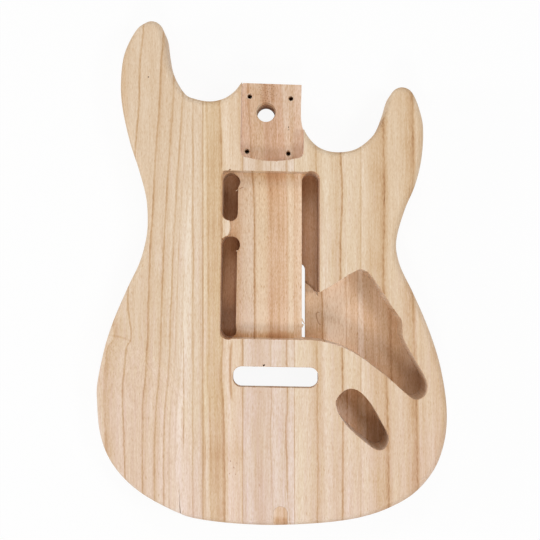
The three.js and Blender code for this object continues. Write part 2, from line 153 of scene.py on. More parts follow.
def turned(path, angle, centre):
    """A path turned about the origin by an angle in radians, then carried to a centre."""
    cosine, sine = math.cos(angle), math.sin(angle)
    return path @ np.array([[cosine, sine], [-sine, cosine]]) + np.asarray(centre)


# %% The outline and the way inwards at each of its points
RIM_STEPS = 12
rim = smooth_curve(place(RIM_SHARES), RIM_STEPS)
low, high = rim.min(axis=0), rim.max(axis=0)
rim = (rim - (low + high) / 2) * [WIDTH, LENGTH] / (high - low)

slope = np.gradient(rim, axis=0)
slope /= np.linalg.norm(slope, axis=1, keepdims=True)
inward = np.column_stack([-slope[:, 1], slope[:, 0]])
heel_line = (rim[-1] - rim[0]) / np.linalg.norm(rim[-1] - rim[0])
inward[0] = heel_line / (heel_line @ inward[0])
inward[-1] = -heel_line / (-heel_line @ inward[-1])
print("outline", len(rim), "points,", np.ptp(rim, axis=0).round(3), "mm")

# %% [markdown]
# ## Meshes from arrays
# A ring is one row of points. Rings that follow each other are joined with four-sided faces, and the two ends
# are closed. The blank is the edge's profile carried round the outline, and each router cut is a wall's
# profile carried round its template.

# %% Mesh helpers
# The last three finishes are painted shade: the fourth makes the jack cavity a little darker and browner, the
# fifth makes the narrow channels, the holes, the grooves and many pits much darker, and the sixth paints the
# smallest pits dark brown
FINISH_NAMES = ("sanded", "routed", "milled", "jack_shade", "hollow_shade", "dark")
SANDED, ROUTED, MILLED, JACK_SHADE, HOLLOW_SHADE, PIT_SHADE = range(len(FINISH_NAMES))
plain_slots = [bpy.data.materials.new(name) for name in FINISH_NAMES]
# Points of a path that are closer than this, in millimetres, are one point
SAME_POINT = 1e-4


def lofted(name, rings, finish=SANDED):
    """A closed shell: quads between neighbouring rings of points, each ring joined round to its start, and
    one face across the first ring and one across the last."""
    rings = np.asarray(rings, float)
    rows, count = rings.shape[:2]
    index = np.arange(rows * count).reshape(rows, count)
    beside = np.roll(index, -1, axis=1)
    quads = np.stack([index[:-1], beside[:-1], beside[1:], index[1:]], axis=-1).reshape(-1, 4)
    faces = quads.tolist() + [index[0][::-1].tolist(), index[-1].tolist()]
    mesh = bpy.data.meshes.new(name)
    mesh.from_pydata((rings.reshape(-1, 3) * MM).tolist(), [], faces)
    shell = bmesh.new()
    shell.from_mesh(mesh)
    bmesh.ops.recalc_face_normals(shell, faces=shell.faces)
    shell.to_mesh(mesh)
    shell.free()
    for slot in plain_slots:
        mesh.materials.append(slot)
    mesh.polygons.foreach_set("material_index", np.full(len(mesh.polygons), finish, np.int32))
    made = bpy.data.objects.new(name, mesh)
    bpy.context.scene.collection.objects.link(made)
    return made


def carried(name, path, profile, finish=ROUTED):
    """A profile of (outset, height) pairs carried round a closed path: at each height the path is drawn
    outwards, square to itself, by the outset."""
    path = np.asarray(path, float)
    keep = np.linalg.norm(path - np.roll(path, 1, axis=0), axis=1) > SAME_POINT
    path = path[keep]
    x, y = path.T
    if np.sum(x * np.roll(y, -1) - np.roll(x, -1) * y) < 0:
        path = path[::-1]
    ahead = np.roll(path, -1, axis=0) - path
    ahead /= np.linalg.norm(ahead, axis=1, keepdims=True)
    way = ahead + np.roll(ahead, 1, axis=0)
    way /= np.linalg.norm(way, axis=1, keepdims=True)
    outward = np.column_stack([way[:, 1], -way[:, 0]])
    rings = [np.column_stack([path + outward * outset, np.full(len(path), height)])
             for outset, height in profile]
    return lofted(name, rings, finish)


def copied(body):
    """A second object with a mesh of its own."""
    twin = body.copy()
    twin.data = body.data.copy()
    bpy.context.scene.collection.objects.link(twin)
    return twin


def carve(body, cutters, operation="DIFFERENCE"):
    """Take each cutter from the body, or keep what they share, and remove the cutters."""
    for cutter in cutters:
        change = body.modifiers.new(cutter.name, "BOOLEAN")
        change.operation = operation
        change.solver = "MANIFOLD"
        change.object = cutter
    scene_now = bpy.context.evaluated_depsgraph_get()
    result = bpy.data.meshes.new_from_object(body.evaluated_get(scene_now))
    body.modifiers.clear()
    body.data = result
    for cutter in cutters:
        bpy.data.objects.remove(cutter)
    return body


def without_crumbs(body):
    """Keep the largest shell of a mesh. Every vertex takes the lowest number among its neighbours until
    nothing changes, so the vertices of one shell end with the same number. Gives how many shells went."""
    mesh = body.data
    pairs = np.empty(2 * len(mesh.edges), np.int32)
    mesh.edges.foreach_get("vertices", pairs)
    one, other = pairs.reshape(-1, 2).T
    label, before = np.arange(len(mesh.vertices)), None
    while before is None or (label != before).any():
        before = label.copy()
        lowest = np.minimum(before[one], before[other])
        np.minimum.at(label, one, lowest)
        np.minimum.at(label, other, lowest)
        label = label[label]
    shells, sizes = np.unique(label, return_counts=True)
    loose = np.flatnonzero(label != shells[sizes.argmax()])
    shell = bmesh.new()
    shell.from_mesh(mesh)
    shell.verts.ensure_lookup_table()
    bmesh.ops.delete(shell, geom=[shell.verts[index] for index in loose], context="VERTS")
    shell.to_mesh(mesh)
    shell.free()
    return len(shells) - 1


def volume_of(body):
    """The volume inside a closed mesh, in cubic centimetres."""
    shell = bmesh.new()
    shell.from_mesh(body.data)
    size = shell.calc_volume(signed=True)
    shell.free()
    return size * 1e6


# %% [markdown]
# ## The blank
# A bearing-guided round-over bit runs round the edge of the real one, on both sides. Here its quarter circle
# is cut into short facets and carried round the outline, from the back edge up to the front edge. The heel's
# end is left flat, because the neck stands against it.

# %% The blank with its rounded edges
ROUND_FACETS = 12
angle = np.radians(np.linspace(0, 90, ROUND_FACETS + 1))
inset = EDGE_RADIUS * (1 - np.sin(angle))
rise = EDGE_RADIUS * (1 - np.cos(angle))
edge_insets = np.concatenate([inset, inset[::-1]])
edge_heights = np.concatenate([rise, FRONT - rise[::-1]])
blank_rings = [np.column_stack([rim + inward * step, np.full(len(rim), height)])
               for step, height in zip(edge_insets, edge_heights)]
blank = lofted("blank", blank_rings)
print("blank", round(volume_of(blank)), "cm3")

# %% [markdown]
# ## Forearm and belly contours
# The maker planes and sands two hollows where the player's arm and ribs rest. Each is a shallow bowl whose
# depth falls off as a parabola from a place on the rim. Here a sheet of that form is drawn from the rim
# towards the middle, closed on its far side, and taken away from the blank. Near the rim the sheet turns
# down again, which keeps the edge round.

# %% Cutters for the two contours
ARM_DEPTH, ARM_REACH, ARM_EDGE = 12.0, (83.0, 84.0), 4.0
BELLY_DEPTH, BELLY_REACH = 15.0, (62.0, 96.0)
# The sheet runs a tenth past the bowl
MARGIN, SHEET_STEPS = 1.1, 41


def contour_cutter(name, middle, focus, inner, depth, reach, radius, from_front):
    """A sheet of columns that start on the rim and run towards a focus. At each point the depth is
    depth * (1 - (x / reach)^2 - (y / reach)^2) measured from the middle, and within one radius of the rim
    a quarter circle is added to it."""
    starts = rim[(rim[:, 0] < inner) & (np.abs(rim[:, 1] - middle[1]) < reach[1] * MARGIN)]
    way = focus - starts
    way /= np.linalg.norm(way, axis=1, keepdims=True)
    steps = np.concatenate([
        [-BEYOND],
        radius * (1 - np.cos(np.linspace(0, math.pi / 2, ROUND_FACETS + 1))),
        np.linspace(radius, reach[0] * MARGIN, SHEET_STEPS)[1:],
    ])
    spots = starts[:, None, :] + way[:, None, :] * steps[None, :, None]
    far_x = np.maximum(spots[..., 0] - middle[0], 0) / reach[0]
    far_y = (spots[..., 1] - middle[1]) / reach[1]
    if from_front:
        far_y = np.maximum(far_y, 0)
    cut = np.maximum(depth * (1 - far_x ** 2 - far_y ** 2), -BEYOND / 2)
    left = np.maximum(radius - np.maximum(steps, 0), 0)[None, :]
    rounding = radius - np.sqrt(radius ** 2 - left ** 2)
    level = FRONT - cut - rounding if from_front else cut + rounding
    clear = np.full_like(level, FRONT + BEYOND if from_front else -BEYOND)
    work = np.dstack([spots, level])
    away = np.dstack([spots, clear])
    return lofted(name, np.concatenate([work, away[:, ::-1]], axis=1), SANDED)


arm = contour_cutter("arm", place([0.0172, 0.1904]), place([0.36, 0.278]), place([0.33, 0])[0],
                     ARM_DEPTH, ARM_REACH, ARM_EDGE, True)
belly = contour_cutter("belly", place([0.150, 0.620]), place([1.7, 0.60]), place([0.19, 0])[0],
                       BELLY_DEPTH, BELLY_REACH, EDGE_RADIUS, False)
carve(blank, [arm, belly])
print("blank with contours", round(volume_of(blank)), "cm3")

# %% [markdown]
# ## Router cuts
# The cavities are cut with a straight bit and a template, in a few passes. The bit leaves a flat floor and
# square walls, and sanding the face breaks the sharp edge at the top by a fraction of a millimetre. So each
# cutter is a template's outline carried down with a small flare at the face.

# %% Places that several cuts share
TURN = -0.0175
ROUTE_SIZE = np.array([89.0, 151.6])
POCKET_LENGTH = 72.4
TREMOLO_ASIDE, TREMOLO_BELOW = 4.7, 34.4
WORN = 0.35

route = place([0.4985, 0.5352])
route_bottom = route[1] - ROUTE_SIZE[1] / 2
route_right, route_top = route + ROUTE_SIZE / 2
heel_end = (rim[0, 1] + rim[-1, 1]) / 2
pocket_bottom = heel_end - POCKET_LENGTH
tremolo = np.array([route[0] + TREMOLO_ASIDE, route_bottom - TREMOLO_BELOW])


def front_cut(name, path, floor, finish=ROUTED):
    """A cut from the front down to a floor, with its top edge broken by sanding."""
    return carried(name, path, [(0, floor), (0, FRONT - WORN), (WORN, FRONT), (WORN, FRONT + BEYOND)], finish)


def back_cut(name, path, ceiling, finish=ROUTED):
    """A cut from the back up to a ceiling, with its lower edge broken by sanding."""
    return carried(name, path, [(WORN, -BEYOND), (WORN, 0), (0, WORN), (0, ceiling)], finish)


def through_cut(name, path, finish=ROUTED, worn=WORN):
    """A cut all the way through, with both edges broken by sanding."""
    return carried(name, path, [(worn, -BEYOND), (worn, 0), (0, worn), (0, FRONT - worn), (worn, FRONT),
                                (worn, FRONT + BEYOND)], finish)


def rounded_rectangle(width, height, corner):
    """Four quarter circles about the corners' centres."""
    x, y = width / 2 - corner, height / 2 - corner
    return np.vstack([arc((x, -y), corner, -90, 0, 12), arc((x, y), corner, 0, 90, 12),
                      arc((-x, y), corner, 90, 180, 12), arc((-x, -y), corner, 180, 270, 12)])


print("route", route.round(2), "pocket bottom", round(pocket_bottom, 2), "tremolo", tremolo.round(2))

# %% The pickup pad with its tab, and the neck pocket
PAD_DEPTH, POCKET_DEPTH = 17.0, 16.0
PAD_FOOT, PAD_HEAD = 6.5, 3.25
# The tab reaches in by 8.2 mm, and a Bezier's middle gets three quarters of the way to its controls
TAB_HALF, TAB_PULL = 10.5, 8.2 * 1.33
POCKET_WIDTH, POCKET_ASIDE = 57.0, 1.3
POCKET_BOW, POCKET_ROUND = 2.6, 7.5
TREBLE_RADIUS = 7.8

half_x, half_y = ROUTE_SIZE / 2
tab_middle = half_y * 0.33
pad_path = np.vstack([
    bezier((-half_x, -half_y + PAD_FOOT), (-half_x, -half_y), (-half_x + PAD_FOOT, -half_y)),
    [[half_x - TREBLE_RADIUS, -half_y], [half_x - TREBLE_RADIUS, half_y]],
    bezier((-half_x + PAD_HEAD, half_y), (-half_x, half_y), (-half_x, half_y - PAD_HEAD)),
    bezier((-half_x, tab_middle + TAB_HALF), (-half_x + TAB_PULL, tab_middle + TAB_HALF),
           (-half_x + TAB_PULL, tab_middle - TAB_HALF), (-half_x, tab_middle - TAB_HALF), steps=36),
])
pad_path = turned(pad_path, TURN, route)
pad = front_cut("pad", pad_path, FRONT - PAD_DEPTH)

half, mouth, side = POCKET_WIDTH / 2, POCKET_LENGTH + BEYOND, POCKET_BOW + POCKET_ROUND
pocket_path = np.vstack([
    [[-half, mouth]],
    bezier((-half, side), (-half, POCKET_BOW), (-half + POCKET_ROUND, POCKET_BOW)),
    bezier((-half + POCKET_ROUND, POCKET_BOW), (0, -POCKET_BOW), (half - POCKET_ROUND, POCKET_BOW), steps=24),
    bezier((half - POCKET_ROUND, POCKET_BOW), (half, POCKET_BOW), (half, side)),
    [[half, mouth]],
])
pocket_path = turned(pocket_path, TURN, (route[0] + POCKET_ASIDE, pocket_bottom))
pocket = front_cut("pocket", pocket_path, FRONT - POCKET_DEPTH, MILLED)

# %% The deep wire channels beside the pad
CHANNEL_DEPTH, BASS_RADIUS = 40.0, 6.9
UPPER_HEAD, UPPER_FOOT = 7.2, 37.9
CONTROL_LENGTH, CONTROL_ASIDE, CONTROL_BELOW, CONTROL_RIM = 117.4, 13.3, 54.4, 18.7
BAY_START, BAY_BEND, BAY_END = 11.7, 12.48, 24.96


def channel(top, bottom, radius):
    """A slot: half a circle round its upper end and half round its lower end."""
    return np.vstack([arc(top, radius, 0, 180), arc(bottom, radius, 180, 360)])


x = -half_x + BASS_RADIUS
upper = turned(channel((x, half_y - UPPER_HEAD), (x, UPPER_FOOT), BASS_RADIUS), TURN, route)
lower = turned(channel((x, ROUTE_SIZE[1] / 15), (x, -half_y + BASS_RADIUS), BASS_RADIUS), TURN, route)

bay_left = route_right - 2 * TREBLE_RADIUS
control_left = bay_left + CONTROL_ASIDE
control_width = WIDTH / 2 - CONTROL_RIM - control_left
control_bottom = route_bottom - CONTROL_BELOW
bay_top = control_bottom + CONTROL_LENGTH
treble_middle = route_right - TREBLE_RADIUS
treble_path = np.vstack([
    arc((treble_middle, route_top - TREBLE_RADIUS), TREBLE_RADIUS, 0, 180),
    bezier((bay_left, bay_top - BAY_START), (treble_middle, bay_top - BAY_BEND),
           (route_right, bay_top - BAY_END), steps=18),
])
channels = [front_cut("channel", path, FRONT - CHANNEL_DEPTH, HOLLOW_SHADE) for path in (upper, lower, treble_path)]

# %% The control cavity, the jack cavity and the bore between them
CONTROL_DEPTH, JACK_DEPTH = 37.0, 38.0
JACK_SIZE = (47.8, 55.2)
BORE_RADIUS, BORE_RISE = 4.0, 8.0

CONTROL_SHARES = np.array([
    [0.000, 0.813], [0.069, 0.843], [0.221, 0.921], [0.337, 0.980], [0.395, 1.000], [0.464, 0.975],
    [0.615, 0.798], [0.688, 0.700], [0.763, 0.612], [0.771, 0.588], [0.778, 0.485], [0.803, 0.434],
    [0.892, 0.300], [0.950, 0.216], [0.995, 0.133], [1.000, 0.096], [0.987, 0.040], [0.936, 0.004],
    [0.882, 0.000], [0.806, 0.047], [0.690, 0.135], [0.487, 0.273], [0.360, 0.347], [0.221, 0.406],
    [0.046, 0.449],
])
JACK_SHARES = np.array([
    [-0.506, 0.300], [-0.499, 0.205], [-0.446, 0.085], [-0.370, -0.020], [-0.280, -0.118], [-0.175, -0.205],
    [-0.050, -0.300], [0.060, -0.378], [0.165, -0.448], [0.250, -0.487], [0.320, -0.500], [0.385, -0.487],
    [0.445, -0.440], [0.483, -0.368], [0.492, -0.295], [0.462, -0.215], [0.412, -0.130], [0.345, -0.026],
    [0.268, 0.098], [0.175, 0.228], [0.080, 0.335], [-0.005, 0.415], [-0.092, 0.472], [-0.170, 0.497],
    [-0.250, 0.502], [-0.330, 0.478], [-0.402, 0.435], [-0.465, 0.373],
])
control_corner = np.array([control_left, control_bottom])
control_size = np.array([control_width, CONTROL_LENGTH])
control_wall = smooth_curve(CONTROL_SHARES * control_size + control_corner, 8)
control_path = np.vstack([[[bay_left, route_bottom], [bay_left, bay_top]], control_wall])
jack_centre = place([0.7595, 0.2109])
jack_path = smooth_curve(JACK_SHARES * JACK_SIZE + jack_centre, 8, closed=True)
control = front_cut("control", control_path, FRONT - CONTROL_DEPTH)
jack = front_cut("jack", jack_path, FRONT - JACK_DEPTH, JACK_SHADE)

control_middle = control_corner + control_size / 2
axis = control_middle - jack_centre
aside = np.array([-axis[1], axis[0]]) / np.linalg.norm(axis)
ring = circle((0, FRONT - JACK_DEPTH + BORE_RISE), BORE_RADIUS, 24)
bore = lofted("bore", [np.column_stack([start + aside * ring[:, :1], ring[:, 1]])
                       for start in (jack_centre, control_middle)], ROUTED)

# %% The neck screw holes, the tremolo slot, its block well and the spring bay
SCREW_PATTERN, SCREW_TURN = (38.1, 50.8), -0.049
SCREWS_ASIDE, SCREWS_SHARE = 1.3, 0.48
HANGER_SHIFT, SUNK_SHIFT = np.array([-2.8, 11.2]), np.array([-2.8, 11.6])
SCREW_RADIUS, SCREW_WORN, HANGER_RADIUS = 2.1, 0.2, 8.25
SLOT_SIZE, WELL_SIZE, SPRINGS_SIZE = (77.3, 18.5), (80.0, 34.0), (56.0, 109.0)
SLOT_CORNER, BAY_CORNER = 8.0, 6.0
WELL_SKIN, SPRINGS_DEPTH, SPRINGS_PAST = 10.0, 16.0, 6.0

across, along = SCREW_PATTERN
screws = np.array([(i * across / 2, j * along / 2) for i in (-1, 1) for j in (-1, 1)])
screw_middle = np.array([route[0] - SCREWS_ASIDE, pocket_bottom + POCKET_LENGTH * SCREWS_SHARE])
screws = turned(screws, SCREW_TURN, screw_middle)
holes = [through_cut("screw", circle(spot, SCREW_RADIUS, 32), HOLLOW_SHADE, SCREW_WORN) for spot in screws]
holes.append(through_cut("hanger", circle(screw_middle + HANGER_SHIFT, HANGER_RADIUS, 64), HOLLOW_SHADE))

slot_path = turned(rounded_rectangle(*SLOT_SIZE, SLOT_CORNER), TURN, tremolo)
well_middle = tremolo + [0, SLOT_SIZE[1] / 2 - WELL_SIZE[1] / 2]
well_path = rounded_rectangle(*WELL_SIZE, BAY_CORNER) + well_middle
spring_path = rounded_rectangle(*SPRINGS_SIZE, BAY_CORNER) + tremolo + [0, SPRINGS_SIZE[1] / 2 - SPRINGS_PAST]
tremolo_cuts = [
    through_cut("slot", slot_path),
    back_cut("well", well_path, FRONT - WELL_SKIN),
    back_cut("springs", spring_path, SPRINGS_DEPTH),
]

# %% [markdown]
# ## Marks of the work
# The bass channels start from drilled holes a little wider than they are. Where the bit leaves the wood
# across the grain it tears small chips from the edge, and once the tool slipped on the floor of the bay. All
# of this is cut here as small lumpy balls, tubes and wedges, because a real chip catches light as no painted
# spot does.

# %% Helpers for chips and scratches
def on_level(x, y, level):
    """A place in the photograph's frame, in pixels, carried out to a height in millimetres."""
    scale = (CAMERA_PLACE[2] - level) / FOCAL_PIXELS
    return np.array([CAMERA_PLACE[0] + (x - FRAME_PIXELS / 2) * scale,
                     CAMERA_PLACE[1] + (FRAME_PIXELS / 2 - y) * scale])


def chip(name, centre, level, size, angle=0.0, phase=0.0, finish=ROUTED):
    """A ball whose radius is 1 + (0.2 sin(3 u + phase) + 0.15 sin(2 u + 3 v + 2 phase)) cos(v), where u runs
    round it and v up it. It is scaled to its three half sizes, turned by an angle in degrees and moved to
    its place."""
    u = np.linspace(0, 2 * math.pi, 14, endpoint=False)[None, :]
    v = np.radians(np.linspace(-80, 80, 7))[:, None]
    radius = 1 + 0.2 * np.sin(3 * u + phase) * np.cos(v) + 0.15 * np.sin(2 * u + 3 * v + 2 * phase) * np.cos(v)
    x, y = radius * np.cos(u) * np.cos(v) * size[0], radius * np.sin(u) * np.cos(v) * size[1]
    turn = math.radians(angle)
    rings = np.dstack([centre[0] + x * math.cos(turn) - y * math.sin(turn),
                       centre[1] + x * math.sin(turn) + y * math.cos(turn),
                       level + radius * np.sin(v) * size[2]])
    return lofted(name, rings, finish)


def scratch(name, path, level, radii, finish=ROUTED):
    """A tube along a flat path: circles that stand square to the path, each with its own radius."""
    path = np.asarray(path, float)
    way = np.gradient(path, axis=0)
    way /= np.linalg.norm(way, axis=1, keepdims=True)
    turn = np.linspace(0, 2 * math.pi, 8, endpoint=False)
    sideways = np.asarray(radii, float)[:, None] * np.cos(turn)
    rings = np.dstack([path[:, :1] - way[:, 1:] * sideways, path[:, 1:] + way[:, :1] * sideways,
                       level + np.asarray(radii, float)[:, None] * np.sin(turn)])
    return lofted(name, rings, finish)


def swelling(path, shares, radii):
    """A radius for each point of a path, read between the ones given at shares of the path."""
    return np.interp(np.linspace(0, 1, len(path)), shares, radii)


# %% Drilled channel ends, and the edges of the holes in the pocket
DRILLED = [((232.1, 182.0), 7.5), ((231.6, 244.8), 7.8), ((228.9, 330.3), 7.1)]
# The edges of these holes on the pocket's floor, as pairs of outset and height
COUNTERSINK = [(0.0, 26.0), (0.5, 28.0), (1.0, 29.5), (1.0, 32.0)]
CHAMFER = [(0.0, 27.9), (0.0, 28.2), (0.8, 29.0), (0.8, 30.0)]

drilled = [front_cut("drilled", circle(on_level(*spot, FRONT - PAD_DEPTH), radius, 48), FRONT - CHANNEL_DEPTH,
                     HOLLOW_SHADE) for spot, radius in DRILLED]
chamfers = [carried("chamfer", circle(spot, SCREW_RADIUS, 32), CHAMFER, SANDED) for spot in screws]
countersink = carried("countersink", circle(screw_middle + SUNK_SHIFT, HANGER_RADIUS, 64), COUNTERSINK)

# %% Chips torn along the routed edges
random = np.random.default_rng(11)


def torn_places(path, count):
    """Places on a closed path, evenly spread over the distance it runs across the grain, then shaken."""
    path = np.vstack([path, path[:1]])
    across = np.concatenate([[0.0], np.cumsum(np.abs(np.diff(path[:, 0])))])
    share = (np.arange(count) + random.uniform(0.15, 0.85, count)) / count * across[-1]
    return np.column_stack([np.interp(share, across, path[:, 0]), np.interp(share, across, path[:, 1])])


TORN_EDGES = [(pad_path, 36), (control_path, 40), (jack_path, 12), (slot_path, 10),
              (lower, 4), (treble_path, 4)]
tears = []
for path, count in TORN_EDGES:
    for spot, across, along, deep, phase in zip(torn_places(path, count), random.uniform(0.3, 0.85, count),
                                                random.uniform(0.3, 0.8, count), random.uniform(0.4, 1.1, count),
                                                random.uniform(0, 6, count)):
        tears.append(("tear", spot, FRONT, (across, along, deep), 0.0, phase, ROUTED))
print(len(tears), "small tears")

# %% Larger chips, specks and pits, each where the real one has it
# The pits with the two darkest finishes take painted shade
PITS = [
    # x and y in the photograph's pixels, height in mm, half sizes in mm, angle in degrees, finish
    (229.6, 169.9, 45, (1.7, 0.5, 1.0), 30, HOLLOW_SHADE), (226.2, 170.6, 45, (0.9, 0.8, 1.0), 0, HOLLOW_SHADE),
    (241.6, 187.8, 28, (2.3, 0.35, 0.6), 20, HOLLOW_SHADE), (240.4, 190.4, 28, (1.4, 0.5, 0.5), -15, SANDED),
    (324.3, 290.9, 45, (1.2, 0.9, 1.2), 0, PIT_SHADE), (330.6, 287.2, 45, (0.9, 0.5, 0.8), 20, HOLLOW_SHADE),
    (337.2, 283.2, 45, (1.0, 0.5, 0.8), 30, HOLLOW_SHADE), (349.0, 275.0, 45, (1.3, 0.6, 0.8), 20, HOLLOW_SHADE),
    (420.4, 397.3, 45, (1.1, 0.5, 0.8), -30, HOLLOW_SHADE), (264.0, 365.2, 45, (1.1, 0.75, 1.2), 0, PIT_SHADE),
    (267.3, 365.0, 45, (0.9, 0.8, 1.2), 0, PIT_SHADE), (288.4, 127.3, 29, (0.35, 0.8, 0.8), 0, PIT_SHADE),
    (288.9, 129.7, 29, (0.3, 0.6, 0.8), 0, PIT_SHADE), (148.5, 77.0, 45, (0.5, 0.55, 1.0), 0, PIT_SHADE),
    (230.6, 461.0, 45, (0.3, 0.8, 0.4), 0, HOLLOW_SHADE), (233.8, 467.5, 45, (0.35, 0.9, 0.4), 5, HOLLOW_SHADE),
    (229.4, 473.5, 45, (0.3, 0.7, 0.4), 0, HOLLOW_SHADE), (236.8, 463.0, 45, (0.3, 0.6, 0.4), -5, HOLLOW_SHADE),
    (235.4, 474.4, 45, (0.3, 0.7, 0.4), 0, HOLLOW_SHADE), (259.8, 485.0, 45, (0.35, 0.9, 0.5), 0, HOLLOW_SHADE),
    (276.8, 160.7, 45, (1.2, 0.7, 0.8), 0, ROUTED), (290.0, 159.6, 45, (1.0, 0.6, 0.8), 0, ROUTED),
]
pits = [("pit", on_level(x, y, level), level, size, angle, x, finish)
        for x, y, level, size, angle, finish in PITS]

# Torn fibres on the pocket's floor, in a cloud: its middle and spread in x, and its ends in y, in pixels
FIGURE, CLOUD_X, CLOUD_Y = 120, (267.0, 4.2), (83, 104)
pocket_floor = FRONT - POCKET_DEPTH
figure_x, figure_y = random.normal(*CLOUD_X, FIGURE), random.uniform(*CLOUD_Y, FIGURE)
for x, y, phase in zip(figure_x, figure_y, random.uniform(0, 6, FIGURE)):
    pits.append(("torn figure", on_level(x, y, pocket_floor), pocket_floor,
                 (0.62 + 0.2 * math.sin(phase), 0.3, 0.5), 50 * math.sin(2 * phase), phase, HOLLOW_SHADE))

GOUGE = [(319.8, 312.5), (317.6, 312.3), (316.4, 313.4), (316.5, 316.5), (317.3, 320.0), (318.4, 322.8),
         (319.7, 324.4), (321.5, 324.4)]
bay_floor = FRONT - CONTROL_DEPTH
gouge = smooth_curve([on_level(*spot, bay_floor) for spot in GOUGE], 3)
slip = scratch("slip", gouge, bay_floor, swelling(gouge, [0, 0.2, 0.8, 1], [0.2, 0.5, 0.5, 0.2]), HOLLOW_SHADE)


# A chip reaches out by this many times its larger half size
CHIP_REACH = 1.5


def apart(chips):
    """Only the chips that stay clear of all chips before them, so that they can be one cutter."""
    kept = []
    for lump in chips:
        size = CHIP_REACH * max(lump[3][:2])
        if all(math.dist(lump[1], other[1]) > size + CHIP_REACH * max(other[3][:2]) for other in kept):
            kept.append(lump)
    return kept


def gathered(name, shells):
    """Several shells that don't touch, as one object."""
    whole = bmesh.new()
    for shell in shells:
        whole.from_mesh(shell.data)
    whole.to_mesh(shells[0].data)
    whole.free()
    for shell in shells[1:]:
        bpy.data.objects.remove(shell)
    shells[0].name = name
    return shells[0]


lumps = apart(pits + tears)
chips = gathered("chips", [chip(*lump) for lump in lumps])
print(len(lumps), "chips of", len(pits) + len(tears), "stay clear of each other")

# %% The drying crack that opens towards the tail
# A wedge: t runs from 0 to 1 towards the tail while half its width grows and its foot drops, in millimetres
start, end = on_level(178.9, 478.0, 42.0), on_level(180.9, 516.5, 38.0)
t = np.linspace(0, 1, 9)[:, None]
line = start * (1 - t) + end * t + np.sin(t * 7) * [0.25, 0.0]
half = 0.12 + 0.68 * t ** 1.4
foot = 41.6 - 1.2 * t - 8.0 * t ** 3
crack = lofted("crack", np.stack([
    np.hstack([line - [1, 0] * half, 0 * t + FRONT + 1]), np.hstack([line + [1, 0] * half, 0 * t + FRONT + 1]),
    np.hstack([line, foot])], axis=1), ROUTED)

# %% [markdown]
# ## The patch at the tail
# A D-shaped piece of another board is let into the front at the tail edge. Its pocket is a hair wider than
# the piece, which leaves room for the glue.

# %% The patch and its pocket
PATCH_SIDE, PATCH_LENGTH, PATCH_DEPTH = 6.4, 18.1, 13.0
GLUE_GAP = 0.12
PATCH_PROFILE = [(0, FRONT - PATCH_DEPTH), (0, FRONT + BEYOND)]
# The open edge of the patch at the tail, in pixels: a groove, darkened further with painted shade
SEAM = [(273.4, 510.5), (273.8, 514.0), (274.8, 518.0), (276.4, 522.0), (278.2, 525.4)]
SEAM_LEVEL, GROOVE_LEVEL = 43.0, 43.6
patch_x = place([0.5269, 0])[0]


def patch_path(gap):
    """Half a circle at the inner end, with straight sides that run out past the tail."""
    side, end = PATCH_SIDE + gap, -LENGTH / 2 + PATCH_LENGTH + gap
    return np.vstack([arc((patch_x, end - side), side, 0, 180),
                      [[patch_x - side, -LENGTH / 2 - BEYOND], [patch_x + side, -LENGTH / 2 - BEYOND]]])


patch = copied(blank)
carve(patch, [carried("patch_block", patch_path(0), PATCH_PROFILE, SANDED)], "INTERSECT")
patch_pocket = carried("patch_pocket", patch_path(GLUE_GAP), PATCH_PROFILE, ROUTED)
seam = smooth_curve([on_level(*spot, SEAM_LEVEL) for spot in SEAM], 3)
patch_edge = scratch("patch_edge", seam, GROOVE_LEVEL, swelling(seam, [0, 0.5, 1], [0.2, 0.65, 1.3]), HOLLOW_SHADE)
carve(blank, [pad, pocket, *channels, *drilled, control, jack, bore, *holes, countersink, *tremolo_cuts,
              patch_pocket, patch_edge, crack, slip, *chamfers, chips])

# %% Splinters that stand out into the openings
SPLINTERS = [((237.0, 190.2), 27.4, (1.3, 0.35, 0.45), 35), ((236.9, 250.9), 27.4, (1.1, 0.4, 0.45), 30),
             ((303.0, 321.0), 26.6, (2.6, 0.7, 0.9), -62), ((302.2, 325.6), 26.9, (1.2, 1.5, 0.8), 0)]
splinters = [chip("splinter", on_level(*spot, level), level, size, angle, angle, SANDED)
             for spot, level, size, angle in SPLINTERS]
carve(blank, splinters, "UNION")
print("routed blank", round(volume_of(blank)), "cm3, patch", round(volume_of(patch), 2), "cm3")

# %% [markdown]
# ## Boards
# The boards were glued before anything was cut, so the whole shape is made first and then sawn into its
# boards along the glue lines. Each board keeps its own grain.

# %% Saw the blank into its boards
CENTRE_TO_BASS, CENTRE_TO_TREBLE = 24.8, 21.8
SHARP_ANGLE = 12

centre_bass, centre_treble = route[0] - CENTRE_TO_BASS, route[0] + CENTRE_TO_TREBLE
tail, head = -LENGTH / 2 - BEYOND, LENGTH / 2 + BEYOND
outer = WIDTH / 2 + BEYOND
slabs = {
    "stave_bass_wing": (-outer, BASS_JOINT, tail, head),
    "stave_bass_inner": (BASS_JOINT, centre_bass, tail, head),
    "stave_centre_neck": (centre_bass, centre_treble, tremolo[1], head),
    "stave_centre_tail": (centre_bass, centre_treble, tail, tremolo[1]),
    "stave_treble_inner": (centre_treble, TREBLE_JOINT, tail, head),
    "stave_treble_wing": (TREBLE_JOINT, outer, tail, head),
}
pieces = {"tail_patch": patch}
for name, (left, right, bottom, top) in slabs.items():
    corners = np.array([(left, bottom), (right, bottom), (right, top), (left, top)])
    box = carried("slab", corners, [(0, -2 * BEYOND), (0, FRONT + 2 * BEYOND)], SANDED)
    pieces[name] = carve(copied(blank), [box], "INTERSECT")
bpy.data.objects.remove(blank)

